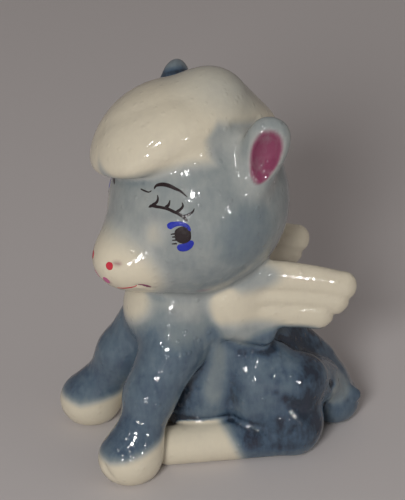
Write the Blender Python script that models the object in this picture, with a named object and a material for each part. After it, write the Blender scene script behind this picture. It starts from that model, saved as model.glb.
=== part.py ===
"""Winged foal figurine: one solid of glazed bone china, sitting up with its forelegs apart.

Run with: blender --background --python part.py

Frame: metres, +Z up. The foal faces -Y and its own left side is +X. The origin lies on the table, at
the middle of the figure's length and width.

The clay is described as one signed distance field: negative inside, positive outside. Each form is a
ball or a limb, and neighbouring forms are blended with a fillet of a named radius, as a modeller
smooths one lump of clay into the next. Points are (left, forward, up) in millimetres until the mesh
is written, and start on the table, on the mid-plane, under the middle of the haunches. A form that
sits on another takes its place from that one's values.
"""

import math

import bmesh
import bpy
import numpy as np

MM = 0.001

# Torso, from the shoulders down the back to the rump
SHOULDER_HEIGHT = 21.0
SHOULDER_FORWARD = 11.6
CHEST_RADIUS = 6.4
WAIST_HEIGHT = 12.5
WAIST_FORWARD = 2.5
WAIST_RADIUS = 7.0
LOIN_RADIUS = 6.5
RUMP_HEIGHT = 9.1
RUMP_BACK = 5.1
RUMP_RADIUS = 4.1
BELLY_RADII = (6.2, 7.0, 7.0)
BELLY_CLEARANCE = 1.0
BELLY_SHARE = 0.55
TORSO_FILLET = 3.0

# Neck and head
NECK_RADIUS = 6.4
NECK_LENGTH = 7.0
NECK_LEAN = 2.6
HEAD_RADIUS = 12.0
HEAD_SINK = 3.4
HEAD_BACK = 0.9
HEAD_TURN = 18.0
FOREHEAD = 0.25
JAW_RADII = (8.3, 8.8, 8.4)
JAW_FORWARD = 2.7
JAW_DROP = 3.3
MUZZLE_RADII = (5.1, 5.9, 4.6)
MUZZLE_REACH = 4.4
MUZZLE_DROP = 5.2
FACE_FILLET = 3.4

# Mane: a fringe over the forehead, and the crown behind it
FRINGE_OUT = (-1.4, 2.4, 5.0)
FRINGE_SQUASH = 0.98
FRINGE_EDGE = 7.4
FRINGE_SLANT = 17.5
FRINGE_TILT = 0.1
FRINGE_FILLET = 3.6
FRINGE_SIDE_FILLET = 9.0
FRINGE_MIDDLE = -3.0
FRINGE_WIDTH = 4.5
FRINGE_SIDE = 6.0
CROWN_RADIUS = 5.6
CROWN_RISE = 6.4
CROWN_BACK = 1.3
NAPE_RADIUS = 6.4
NAPE_RISE = 7.4
NAPE_BACK = 5.0
CROWN_FILLET = 2.0
HAIRLINE_FILLET = 0.9
HAIRLINE_SIDE_FILLET = 2.6

# Ears
EAR_RADII = (2.3, 2.8, 5.2)
EAR_TAPER = 0.28
EAR_STAND = 2.5
RIGHT_EAR_STAND = 2.8
EAR_RISE = 43.0
EAR_BACK = 15.5
EAR_FLARE = 36.0
EAR_LEAN = 14.0
EAR_RIM = 1.0
EAR_TIP_RIM = 1.5
EAR_HOLLOW_RISE = 0.55
EAR_RIM_FILLET = 0.6
EAR_DEPTH = 1.6
EAR_FILLET = 3.2

# Forelegs
FORELEG_OUT = 4.6
FORELEG_AHEAD = 2.1
FORELEG_BELOW = 4.2
FORELEG_TOP_RADIUS = 4.4
KNEE_SHARE = 0.4
KNEE_RADIUS = 3.4
KNEE_BEND = 0.6
PASTERN_SHARE = 0.74
PASTERN_RADIUS = 3.05
HOOF_RADII = (4.0, 4.4, 4.0)
HOOF_CUT = 0.8
HOOF_STEP = (3.2, 6.7)
RIGHT_HOOF_STEP = (4.0, 7.8)
FORELEG_FILLET = 1.5
HOOF_FILLET = 2.4

# Hind legs, folded, with the feet stretched forward along the table
THIGH_RADII = (4.0, 5.1, 7.15)
THIGH_OUT = 5.6
THIGH_AHEAD = 0.8
HOCK_RADII = (4.3, 4.3, 4.8)
HOCK_OUT = 7.1
HOCK_BACK = 2.9
HEEL_OUT = 0.4
FOOT_HEEL_RADIUS = 3.25
FOOT_TOE_RADIUS = 2.7
TOE_LAP = 1.0
FOOT_INWARD = 2.3
HIP_RADII = (3.4, 3.5, 3.4)
HIP_OUT = 7.0
HIP_BACK = 2.8
HIP_HEIGHT = 10.9
HIND_FILLET = 2.5
HAUNCH_FILLET = 0.9
FOOT_FILLET = 0.8
SOLE_CUT = 0.45
SOLE_FILLET = 0.5

# Tail
TAIL_RADIUS = 2.75
TAIL_WAIST_RADIUS = 2.3
TAIL_RISE = 4.8
TAIL_AHEAD = 1.1
TAIL_ARCH = 4.0
SWEEP_RADIUS = 3.4
SWEEP_OUT = 6.2
SWEEP_BACK = 4.7
SWEEP_HEIGHT = 10.2
SWEEP_FILLET = 1.8
TUFT_TOP_RADIUS = 3.2
TUFT_TIP_RADIUS = 3.5
TUFT_DROP = 2.9
TUFT_BACK = 1.9
TUFT_TOP_BACK = 0.4
TUFT_SIDE = 1.4
TAIL_SIDE = 0.8
LOCK_RADIUS = 0.95
LOCK_STAND = 0.5
LOCK_SHARE = 0.75
LOCK_TOP_WAY = (0.8, 0.0, 0.6)
LOCK_END_WAY = (0.8, -0.9, 0.3)
TAIL_FILLET = 0.9

# Wings, swept back, each of three soft feathers from one rounded root
FEATHER_LENGTHS = (13.4, 12.4, 10.0)
FEATHER_RADII = (2.4, 2.2, 2.4)
FEATHER_STEP = 2.65
FEATHER_LIFT = 0.5
FEATHER_TAPER = 0.86
FEATHER_FILLET = 1.9
WING_OUT = 6.0
WING_BEHIND = 7.6
WING_RISE = 6.2
WING_DROOP = 2.7
WING_ARCH = 0.5
WING_SPREAD = 1.4
WING_FLATNESS = 1.5
WING_ROOT_RADII = (1.9, 2.9, 3.5)
WING_ROOT_FILLET = 2.4
WING_ROOT_IN = 0.1
WING_ROOT_AHEAD = 2.0
WING_ROOT_DROP = 3.3
WING_FILLET = 1.6
WINGLET_OUT = 0.3
WINGLET_AHEAD = 1.4
WINGLET_BELOW = 7.2
WINGLET_SWEEP = 4.2
WINGLET_DROOP = 1.9
WINGLET_SPREAD = 0.6
WINGLET_RADIUS = 1.6
RIGHT_WING_AHEAD = 1.6

# Clay mesh. The grid starts a broken number of cells under the table, so that no sample is on it
CELL = 0.5
CELLS_UNDER_TABLE = 2.3
BOX_MARGIN = 3.0
BLOCK_COUNT = 4
REACH = 1.6
SETTLE_ROUNDS = 3
SETTLE_STEP = 0.3
SLOPE_STEP = 0.02
FLAT_BAND = 0.04
TRIANGLES = 10400

GLAZE_COLOUR = (0.30, 0.36, 0.44, 1.0)
GLAZE_ROUGHNESS = 0.12


def vec(*values):
    return np.array(values, np.float32)


def mix(start, end, share):
    return start + (end - start) * share


def smooth(value):
    """A soft step from 0 to 1."""
    value = np.clip(value, 0, 1)
    return value * value * (3 - 2 * value)


MIRROR = vec(-1, 1, 1)

SHOULDER = vec(0, SHOULDER_FORWARD, SHOULDER_HEIGHT)
WAIST = vec(0, WAIST_FORWARD, WAIST_HEIGHT)
RUMP = vec(0, -RUMP_BACK, RUMP_HEIGHT)
NECK_TOP = SHOULDER + vec(0, -NECK_LEAN, NECK_LENGTH)
HEAD = NECK_TOP + vec(0, -HEAD_BACK, HEAD_RADIUS)


def turned(yaw=0.0, pitch=0.0):
    """Axes as columns: left, forward and up. Yaw turns forward to the left, pitch lifts it."""
    cy, sy = math.cos(math.radians(yaw)), math.sin(math.radians(yaw))
    cp, sp = math.cos(math.radians(pitch)), math.sin(math.radians(pitch))
    level = np.array([[cy, sy, 0], [-sy, cy, 0], [0, 0, 1]])
    lifted = np.array([[1, 0, 0], [0, cp, -sp], [0, sp, cp]])
    return (level @ lifted).astype(np.float32)


def ball(points, centre, radii):
    """Distance to an ellipsoid."""
    offset = (points - vec(*centre)) / vec(*radii)
    near = np.maximum(np.linalg.norm(offset, axis=1), 1e-4)
    slope = np.linalg.norm(offset / vec(*radii), axis=1)
    return near * (near - 1) / np.maximum(slope, 1e-6)


def limb(points, start, end, start_radius, end_radius):
    """Distance to a tapered limb with round ends."""
    start, end = vec(*start), vec(*end)
    axis = end - start
    share = np.clip((points - start) @ axis / (axis @ axis), 0, 1)
    radius = mix(start_radius, end_radius, share)
    return np.linalg.norm(points - start - share[:, None] * axis, axis=1) - radius


def blend(first, second, fillet):
    """Two forms as one, with a fillet along their joint."""
    overlap = np.maximum(fillet - np.abs(first - second), 0) / fillet
    return np.minimum(first, second) - overlap**2 * fillet / 4


def carve(form, tool, fillet):
    """A form with the tool's shape taken away."""
    return -blend(-form, tool, fillet)


def face(points):
    """The skull with its jaw and muzzle, in the head's own frame."""
    skull = ball(points, (0, FOREHEAD, 0), (HEAD_RADIUS, HEAD_RADIUS, HEAD_RADIUS))
    jaw = ball(points, (0, JAW_FORWARD, -JAW_DROP), JAW_RADII)
    forward = HEAD_RADIUS + MUZZLE_REACH - MUZZLE_RADII[1]
    muzzle = ball(points, (0, forward, -MUZZLE_DROP), MUZZLE_RADII)
    return blend(blend(skull, jaw, FACE_FILLET), muzzle, FACE_FILLET)


def ear(points, stand):
    """One ear, with its hollow, standing off the left side of the skull."""
    rise, back = math.radians(EAR_RISE), math.radians(EAR_BACK)
    side = vec(math.cos(rise) * math.cos(back), -math.cos(rise) * math.sin(back), math.sin(rise))
    own = (points - side * (HEAD_RADIUS + stand)) @ turned(-EAR_FLARE, EAR_LEAN)
    own[:, 1] *= 1 - EAR_TAPER * own[:, 2] / EAR_RADII[2]
    shell = ball(own, (0, 0, 0), EAR_RADII)
    thick, wide, tall = EAR_RADII
    hollow = ball(own, (thick, 0, EAR_HOLLOW_RISE), (EAR_DEPTH, wide - EAR_RIM, tall - EAR_TIP_RIM))
    return carve(shell, hollow, EAR_RIM_FILLET)


def to_side(points):
    """From 0 at the middle of the hem to 1 beside it, where the hair melts into the skull."""
    return smooth((np.abs(points[:, 0] - FRINGE_MIDDLE) - FRINGE_WIDTH) / FRINGE_SIDE)


def mane(points):
    """Fringe and crown as one mass of hair, cut off at the hem over the brow."""
    radii = (HEAD_RADIUS, HEAD_RADIUS, HEAD_RADIUS * FRINGE_SQUASH)
    fringe = ball(points, FRINGE_OUT, radii)
    slant = math.radians(FRINGE_SLANT)
    hem = vec(-math.sin(slant), FRINGE_TILT, math.cos(slant))
    fillet = mix(FRINGE_FILLET, FRINGE_SIDE_FILLET, to_side(points))
    fringe = carve(fringe, (points - vec(0, 0, FRINGE_EDGE)) @ hem, fillet)
    top = (0, -CROWN_BACK, HEAD_RADIUS + CROWN_RISE - CROWN_RADIUS)
    crown = limb(points, top, (0, -NAPE_BACK, NAPE_RISE), CROWN_RADIUS, NAPE_RADIUS)
    return blend(fringe, crown, CROWN_FILLET)


def head(points):
    own = (points - HEAD - vec(0, 0, -HEAD_SINK)) @ turned(HEAD_TURN)
    form = face(own)
    for side, stand in ((own, EAR_STAND), (own * MIRROR, RIGHT_EAR_STAND)):
        form = blend(form, ear(side, stand), EAR_FILLET)
    return blend(form, mane(own), mix(HAIRLINE_FILLET, HAIRLINE_SIDE_FILLET, to_side(own)))


def torso(points):
    back = limb(points, SHOULDER, WAIST, CHEST_RADIUS, WAIST_RADIUS)
    rump = limb(points, WAIST, RUMP, LOIN_RADIUS, RUMP_RADIUS)
    neck = limb(points, SHOULDER, NECK_TOP, NECK_RADIUS, NECK_RADIUS)
    middle = mix(WAIST, SHOULDER, BELLY_SHARE)
    belly_centre = (0, middle[1], BELLY_RADII[2] + BELLY_CLEARANCE)
    form = blend(blend(back, rump, TORSO_FILLET), neck, TORSO_FILLET)
    return blend(form, ball(points, belly_centre, BELLY_RADII), TORSO_FILLET)


def foreleg(points, step):
    """A foreleg on the left side, whose hoof stands one step out and forward of its top."""
    top = SHOULDER + vec(FORELEG_OUT, FORELEG_AHEAD, -FORELEG_BELOW)
    hoof_height = HOOF_RADII[2] - HOOF_CUT
    hoof = vec(top[0] + step[0], top[1] + step[1], hoof_height)
    knee = mix(top, hoof, KNEE_SHARE) + vec(0, KNEE_BEND, 0)
    pastern = mix(top, hoof, PASTERN_SHARE)
    form = limb(points, top, knee, FORELEG_TOP_RADIUS, KNEE_RADIUS)
    form = blend(form, limb(points, knee, pastern, KNEE_RADIUS, PASTERN_RADIUS), FORELEG_FILLET)
    return blend(form, ball(points, hoof, HOOF_RADII), HOOF_FILLET)


def hind_leg(points):
    """A folded hind leg on the left side: thigh, hock and the foot that lies along the table."""
    thigh_centre = (THIGH_OUT, THIGH_AHEAD, THIGH_RADII[2] + FOOT_TOE_RADIUS - SOLE_CUT)
    hock_centre = (HOCK_OUT, -HOCK_BACK, HOCK_RADII[2] - SOLE_CUT)
    heel = (HOCK_OUT + HEEL_OUT, -HOCK_BACK, FOOT_HEEL_RADIUS - SOLE_CUT)
    hoof_back = SHOULDER_FORWARD + FORELEG_AHEAD + HOOF_STEP[1] - HOOF_RADII[1]
    toe_forward = hoof_back + TOE_LAP - FOOT_TOE_RADIUS
    toe = (heel[0] - FOOT_INWARD, toe_forward, FOOT_TOE_RADIUS - SOLE_CUT)
    hip = ball(points, (HIP_OUT, -HIP_BACK, HIP_HEIGHT), HIP_RADII)
    form = blend(ball(points, thigh_centre, THIGH_RADII), hip, HIND_FILLET)
    form = blend(form, ball(points, hock_centre, HOCK_RADII), HIND_FILLET)
    return blend(form, limb(points, heel, toe, FOOT_HEEL_RADIUS, FOOT_TOE_RADIUS), FOOT_FILLET)


def tail(points):
    """A tail that arches off the rump, sweeps past the left hip and ends in a tuft on the table."""
    root = RUMP + vec(-TAIL_SIDE, TAIL_AHEAD, TAIL_RISE)
    bend = RUMP + vec(-TAIL_SIDE / 2, -TAIL_ARCH, 0)
    tip = vec(TUFT_SIDE, bend[1] - TUFT_BACK, TUFT_TIP_RADIUS - SOLE_CUT)
    top = vec(TUFT_SIDE, bend[1] - TUFT_TOP_BACK, bend[2] - TUFT_DROP)
    dock = limb(points, root, bend, TAIL_RADIUS, TAIL_WAIST_RADIUS)
    sweep = limb(points, (SWEEP_OUT, -SWEEP_BACK, SWEEP_HEIGHT), top, SWEEP_RADIUS, TUFT_TOP_RADIUS)
    tuft = limb(points, top, tip, TUFT_TOP_RADIUS, TUFT_TIP_RADIUS)
    side = TUFT_TOP_RADIUS - LOCK_RADIUS + LOCK_STAND
    lock_top = top + side * vec(*LOCK_TOP_WAY)
    lock_end = mix(top, tip, LOCK_SHARE) + side * vec(*LOCK_END_WAY)
    lock = limb(points, lock_top, lock_end, LOCK_RADIUS, LOCK_RADIUS)
    return blend(blend(dock, sweep, SWEEP_FILLET), blend(tuft, lock, LOCK_STAND), TAIL_FILLET)


def wing(points):
    """The left wing: feathers one under another, with a rounded root and a winglet below it."""
    flat = vec(WING_FLATNESS, 1, 1)
    root = SHOULDER + vec(WING_OUT, -WING_BEHIND, WING_RISE)
    along = np.clip((root[1] - points[:, 1]) / FEATHER_LENGTHS[0], 0, 1)
    points = points - (4 * WING_ARCH * along * (1 - along))[:, None] * vec(0, 0, 1)
    form = None
    for row, (length, radius) in enumerate(zip(FEATHER_LENGTHS, FEATHER_RADII)):
        start = root - vec(0, 0, row * FEATHER_STEP)
        end = start + vec(WING_SPREAD, -length, row * FEATHER_LIFT - WING_DROOP)
        feather = limb(points * flat, start * flat, end * flat, radius, radius * FEATHER_TAPER)
        feather = feather / math.sqrt(WING_FLATNESS)
        form = feather if form is None else blend(form, feather, FEATHER_FILLET)
    middle = root + vec(-WING_ROOT_IN, WING_ROOT_AHEAD, -WING_ROOT_DROP)
    form = blend(form, ball(points, middle, WING_ROOT_RADII), WING_ROOT_FILLET)
    lowest = root + vec(WINGLET_OUT, WINGLET_AHEAD, -WINGLET_BELOW)
    end = lowest + vec(WINGLET_SPREAD, -WINGLET_SWEEP, -WINGLET_DROOP)
    winglet = limb(points, lowest, end, WINGLET_RADIUS, WINGLET_RADIUS * FEATHER_TAPER)
    return blend(form, winglet, WING_FILLET)


def foal(points):
    """The whole figure, standing on the table plane."""
    form = torso(points)
    form = blend(form, foreleg(points, HOOF_STEP), FORELEG_FILLET)
    form = blend(form, foreleg(points * MIRROR, RIGHT_HOOF_STEP), FORELEG_FILLET)
    for side in (points, points * MIRROR):
        form = blend(form, hind_leg(side), HAUNCH_FILLET)
    form = blend(form, tail(points), SWEEP_FILLET)
    form = blend(form, wing(points), WING_FILLET)
    form = blend(form, wing((points - vec(0, RIGHT_WING_AHEAD, 0)) * MIRROR), WING_FILLET)
    form = blend(head(points), form, HAIRLINE_FILLET)
    return carve(form, points[:, 2], SOLE_FILLET)


def clay_box():
    """Lowest and highest corners of a box that holds the figure."""
    wide = HEAD_RADIUS + RIGHT_EAR_STAND + BOX_MARGIN
    front = SHOULDER[1] + HOOF_RADII[1] + RIGHT_HOOF_STEP[1] + FORELEG_AHEAD
    front = max(front, HEAD[1] + HEAD_RADIUS + MUZZLE_REACH)
    rear = RUMP_BACK + TAIL_ARCH + TUFT_BACK + TUFT_TIP_RADIUS
    rear = max(rear, max(FEATHER_LENGTHS) + WING_BEHIND - SHOULDER_FORWARD + max(FEATHER_RADII))
    high = HEAD[2] + HEAD_RADIUS + CROWN_RISE + EAR_RADII[2]
    low = vec(-wide, -rear - BOX_MARGIN, -CELLS_UNDER_TABLE * CELL)
    return low, vec(wide, front + BOX_MARGIN, high)


def sampled(field, low, high):
    """The field on a grid, worked out finely only in the blocks that its surface may cross."""
    size = CELL * BLOCK_COUNT
    counts = np.ceil((high - low) / size).astype(int)
    blocks = np.stack(np.meshgrid(*[np.arange(n) for n in counts], indexing="ij"), -1).reshape(-1, 3)
    middles = low + (blocks + 0.5 - 0.5 / BLOCK_COUNT) * size
    rough = field(middles.astype(np.float32))
    near = np.abs(rough) < size * REACH
    values = np.sign(rough).astype(np.float32)[:, None] * np.full(BLOCK_COUNT**3, size, np.float32)
    inner = np.stack(np.meshgrid(*[np.arange(BLOCK_COUNT)] * 3, indexing="ij"), -1).reshape(-1, 3)
    points = low + (blocks[near][:, None, :] * BLOCK_COUNT + inner[None]) * CELL
    values[near] = field(points.reshape(-1, 3).astype(np.float32)).reshape(-1, BLOCK_COUNT**3)
    shape = (*counts, BLOCK_COUNT, BLOCK_COUNT, BLOCK_COUNT)
    return values.reshape(shape).transpose(0, 3, 1, 4, 2, 5).reshape(counts * BLOCK_COUNT)


def sheets_of(case):
    """For one pattern of clay corners in a cell, the sheet of surface that each cell edge belongs to.

    Clay corners join along cell edges, and empty corners join across faces as well, so that two
    walls that meet in one cell keep a point each.
    """
    corners = [(i, j, k) for i in (0, 1) for j in (0, 1) for k in (0, 1)]
    filled = [bool(case >> number & 1) for number in range(8)]
    group = list(range(8))
    for first in range(8):
        for second in range(first):
            steps = sum(abs(a - b) for a, b in zip(corners[first], corners[second]))
            if filled[first] != filled[second] or steps > (1 if filled[first] else 2):
                continue
            old, new = group[first], group[second]
            group = [new if number == old else number for number in group]
    pairs = []
    sheets = np.zeros(12, np.int64)
    for axis in range(3):
        for number, (i, j) in enumerate(((0, 0), (0, 1), (1, 0), (1, 1))):
            low = [0, 0, 0]
            low[(axis + 1) % 3], low[(axis + 2) % 3] = i, j
            high = list(low)
            high[axis] = 1
            ends = corners.index(tuple(low)), corners.index(tuple(high))
            if filled[ends[0]] == filled[ends[1]]:
                continue
            pair = sorted(ends, key=lambda corner: filled[corner])
            pair = tuple(group[corner] for corner in pair)
            if pair not in pairs:
                pairs.append(pair)
            sheets[axis * 4 + number] = pairs.index(pair)
    return sheets


def skinned(grid, low):
    """Points and four-sided faces along the zero level: one point for each sheet in a cell."""
    sheets = np.array([sheets_of(case) for case in range(256)])
    cells = np.array(grid.shape) - 1
    clay = (grid < 0).astype(np.int64)
    case = np.zeros(cells, np.int64)
    for number in range(8):
        i, j, k = number >> 2, number >> 1 & 1, number & 1
        case += clay[i : i + cells[0], j : j + cells[1], k : k + cells[2]] << number
    case = case.reshape(-1)
    stride = np.array([cells[1] * cells[2], cells[2], 1])
    total = np.zeros((4 * len(case), 3))
    count = np.zeros(4 * len(case), np.int32)
    faces = []
    for axis in range(3):
        second, third = (axis + 1) % 3, (axis + 2) % 3
        before = np.take(grid, np.arange(cells[axis]), axis)
        after = np.take(grid, np.arange(1, cells[axis] + 1), axis)
        edge = np.argwhere((before < 0) != (after < 0))
        start, end = before[tuple(edge.T)], after[tuple(edge.T)]
        crossing = edge.astype(float)
        crossing[:, axis] += start / (start - end)
        ring = []
        for back_second, back_third in ((1, 1), (0, 1), (0, 0), (1, 0)):
            cell = edge.copy()
            cell[:, second] -= back_second
            cell[:, third] -= back_third
            flat = cell @ stride
            point = 4 * flat + sheets[case[flat], axis * 4 + 2 * back_second + back_third]
            ring.append(point)
            np.add.at(total, point, crossing)
            np.add.at(count, point, 1)
        ring = np.stack(ring, 1)
        leaving = end < 0
        ring[leaving] = ring[leaving][:, ::-1]
        faces.append(ring)
    used, faces = np.unique(np.concatenate(faces), return_inverse=True)
    points = total[used] / count[used][:, None] * CELL + low
    return points.astype(np.float32), faces.reshape(-1, 4)


def settled(field, points):
    """The points moved onto the zero level along the field's slope."""
    for _ in range(SETTLE_ROUNDS):
        slope = np.empty_like(points)
        for axis in range(3):
            nudge = np.zeros(3, np.float32)
            nudge[axis] = SLOPE_STEP
            slope[:, axis] = (field(points + nudge) - field(points - nudge)) / (2 * SLOPE_STEP)
        steep = np.maximum((slope * slope).sum(1), 1e-3)
        move = -(field(points) / steep)[:, None] * slope
        length = np.maximum(np.linalg.norm(move, axis=1), 1e-9)
        points = points + move * np.minimum(1, SETTLE_STEP / length)[:, None]
    return points


def clear_scene():
    for item in list(bpy.data.objects):
        bpy.data.objects.remove(item, do_unlink=True)


def glaze():
    material = bpy.data.materials.new("glazed_china")
    material.use_nodes = True
    shader = material.node_tree.nodes["Principled BSDF"]
    shader.inputs["Base Color"].default_value = GLAZE_COLOUR
    shader.inputs["Roughness"].default_value = GLAZE_ROUGHNESS
    shader.inputs["Metallic"].default_value = 0.0
    return material


def clay_object(name, points, faces):
    """A mesh object from the figure's own points, turned into the scene's frame in metres."""
    scene_points = points * vec(1, -1, 1) * MM
    mesh = bpy.data.meshes.new(name)
    mesh.from_pydata(scene_points.tolist(), [], faces[:, ::-1].tolist())
    item = bpy.data.objects.new(name, mesh)
    bpy.context.scene.collection.objects.link(item)
    return item


def thin_out(item):
    """Fewer triangles where the surface is plain, a truly flat sole on each foot, and the figure
    centred over the origin."""
    triangles = 2 * len(item.data.polygons)
    modifier = item.modifiers.new("thin_out", "DECIMATE")
    modifier.ratio = min(1.0, TRIANGLES / triangles)
    graph = bpy.context.evaluated_depsgraph_get()
    thinned = bpy.data.meshes.new_from_object(item.evaluated_get(graph))
    item.modifiers.clear()
    body = bmesh.new()
    body.from_mesh(thinned)
    for vertex in body.verts:
        if vertex.co.z < FLAT_BAND * MM:
            vertex.co.z = 0
    corners = np.array([vertex.co for vertex in body.verts])
    middle = (corners.min(axis=0) + corners.max(axis=0)) / 2
    bmesh.ops.translate(body, vec=(-middle[0], -middle[1], 0), verts=body.verts)
    body.to_mesh(item.data)
    body.free()
    item.data.shade_smooth()


def main():
    clear_scene()
    low, high = clay_box()
    points, faces = skinned(sampled(foal, low, high), low)
    item = clay_object("winged_foal", settled(foal, points), faces)
    thin_out(item)
    item.data.materials.append(glaze())


if __name__ == "__main__":
    main()
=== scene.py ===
"""Looks of the winged foal figurine: glazed and hand-painted bone china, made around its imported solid.

Frame: metres, +Z up. The foal's body faces -Y and its own left side is +X. The origin lies on the
table, at the middle of the figure's length and width.

The clay is one signed distance field: negative inside, positive outside. It has the forms of the
solid, with the finer lines of the mould cut into it. Its points are (left, forward, up) in
millimetres and start on the table, on the mid-plane, under the middle of the haunches. Paint on the
face is placed by two angles about the middle of the head: a turn from its front towards its own
left, and a rise above its horizon.
"""

import math

import bpy
import numpy as np
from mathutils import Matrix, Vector


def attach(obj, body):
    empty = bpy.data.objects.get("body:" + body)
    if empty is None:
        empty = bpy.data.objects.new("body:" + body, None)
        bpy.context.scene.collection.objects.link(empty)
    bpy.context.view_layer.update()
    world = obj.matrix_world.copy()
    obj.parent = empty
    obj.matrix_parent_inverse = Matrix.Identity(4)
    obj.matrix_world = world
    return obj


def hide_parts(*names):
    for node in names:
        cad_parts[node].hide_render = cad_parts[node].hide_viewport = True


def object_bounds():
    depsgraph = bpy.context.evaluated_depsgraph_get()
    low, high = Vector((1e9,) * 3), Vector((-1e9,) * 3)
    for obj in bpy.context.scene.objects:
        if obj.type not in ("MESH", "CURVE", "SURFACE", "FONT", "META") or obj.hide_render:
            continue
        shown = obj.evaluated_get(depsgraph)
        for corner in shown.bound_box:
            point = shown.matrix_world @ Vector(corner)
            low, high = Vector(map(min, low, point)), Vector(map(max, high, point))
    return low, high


bl_info = {
    "name": "Winged foal figurine",
    "version": (1, 0, 0),
    "blender": (4, 5, 0),
    "location": "View3D > Sidebar > Foal",
    "description": "Builds a glazed china foal with wings around its packed solid",
    "category": "Add Mesh",
}

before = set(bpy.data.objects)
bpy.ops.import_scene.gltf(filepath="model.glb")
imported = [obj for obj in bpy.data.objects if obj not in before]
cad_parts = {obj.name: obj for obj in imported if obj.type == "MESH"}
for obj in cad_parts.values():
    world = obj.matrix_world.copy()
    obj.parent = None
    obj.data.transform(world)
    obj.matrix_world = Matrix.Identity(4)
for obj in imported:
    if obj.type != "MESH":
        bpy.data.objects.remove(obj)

MM = 0.001
BODY = "root"
NODE = "winged_foal"
CAD_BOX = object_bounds()

# Torso
SHOULDER_HEIGHT = 21.0
SHOULDER_FORWARD = 11.6
CHEST_RADIUS = 6.4
WAIST_HEIGHT = 12.5
WAIST_FORWARD = 2.5
WAIST_RADIUS = 7.0
LOIN_RADIUS = 6.5
RUMP_HEIGHT = 9.1
RUMP_BACK = 5.1
RUMP_RADIUS = 4.1
BELLY_RADII = (6.2, 7.0, 7.0)
BELLY_CLEARANCE = 1.0
BELLY_SHARE = 0.55
TORSO_FILLET = 3.0

# Neck and head
NECK_RADIUS = 6.4
NECK_LENGTH = 7.0
NECK_LEAN = 2.6
HEAD_RADIUS = 12.0
HEAD_SINK = 3.4
HEAD_BACK = 0.9
HEAD_TURN = 18.0
FOREHEAD = 0.25
JAW_RADII = (8.3, 8.8, 8.4)
JAW_FORWARD = 2.7
JAW_DROP = 3.3
MUZZLE_RADII = (5.1, 5.9, 4.6)
MUZZLE_REACH = 4.4
MUZZLE_DROP = 5.2
FACE_FILLET = 3.4

# Mane
FRINGE_OUT = (-1.4, 2.4, 5.0)
FRINGE_SQUASH = 0.98
FRINGE_EDGE = 7.4
FRINGE_SLANT = 17.5
FRINGE_TILT = 0.1
FRINGE_FILLET = 3.6
FRINGE_SIDE_FILLET = 9.0
FRINGE_MIDDLE = -3.0
FRINGE_WIDTH = 4.5
FRINGE_SIDE = 6.0
CROWN_RADIUS = 5.6
CROWN_RISE = 6.4
CROWN_BACK = 1.3
NAPE_RADIUS = 6.4
NAPE_RISE = 7.4
NAPE_BACK = 5.0
CROWN_FILLET = 2.0
HAIRLINE_FILLET = 0.9
HAIRLINE_SIDE_FILLET = 2.6

# Ears
EAR_RADII = (2.3, 2.8, 5.2)
EAR_TAPER = 0.28
EAR_STAND = 2.5
RIGHT_EAR_STAND = 2.8
EAR_RISE = 43.0
EAR_BACK = 15.5
EAR_FLARE = 36.0
EAR_LEAN = 14.0
EAR_RIM = 1.0
EAR_TIP_RIM = 1.5
EAR_HOLLOW_RISE = 0.55
EAR_RIM_FILLET = 0.6
EAR_DEPTH = 1.6
EAR_FILLET = 3.2

# Forelegs
FORELEG_OUT = 4.6
FORELEG_AHEAD = 2.1
FORELEG_BELOW = 4.2
FORELEG_TOP_RADIUS = 4.4
KNEE_SHARE = 0.4
KNEE_RADIUS = 3.4
KNEE_BEND = 0.6
PASTERN_SHARE = 0.74
PASTERN_RADIUS = 3.05
HOOF_RADII = (4.0, 4.4, 4.0)
HOOF_CUT = 0.8
HOOF_STEP = (3.2, 6.7)
RIGHT_HOOF_STEP = (4.0, 7.8)
FORELEG_FILLET = 1.5
HOOF_FILLET = 2.4

# Hind legs
THIGH_RADII = (4.0, 5.1, 7.15)
THIGH_OUT = 5.6
THIGH_AHEAD = 0.8
HOCK_RADII = (4.3, 4.3, 4.8)
HOCK_OUT = 7.1
HOCK_BACK = 2.9
HEEL_OUT = 0.4
FOOT_HEEL_RADIUS = 3.25
FOOT_TOE_RADIUS = 2.7
TOE_LAP = 1.0
FOOT_INWARD = 2.3
HIP_RADII = (3.4, 3.5, 3.4)
HIP_OUT = 7.0
HIP_BACK = 2.8
HIP_HEIGHT = 10.9
HIND_FILLET = 2.5
HAUNCH_FILLET = 0.9
FOOT_FILLET = 0.8
SOLE_CUT = 0.45
SOLE_FILLET = 0.5

# Tail
TAIL_RADIUS = 2.75
TAIL_WAIST_RADIUS = 2.3
TAIL_RISE = 4.8
TAIL_AHEAD = 1.1
TAIL_ARCH = 4.0
SWEEP_RADIUS = 3.4
SWEEP_OUT = 6.2
SWEEP_BACK = 4.7
SWEEP_HEIGHT = 10.2
SWEEP_FILLET = 1.8
TUFT_TOP_RADIUS = 3.2
TUFT_TIP_RADIUS = 3.5
TUFT_DROP = 2.9
TUFT_BACK = 1.9
TUFT_TOP_BACK = 0.4
TUFT_SIDE = 1.4
TAIL_SIDE = 0.8
LOCK_RADIUS = 0.95
LOCK_STAND = 0.5
LOCK_SHARE = 0.75
LOCK_TOP_WAY = (0.8, 0.0, 0.6)
LOCK_END_WAY = (0.8, -0.9, 0.3)
TAIL_FILLET = 0.9

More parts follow.
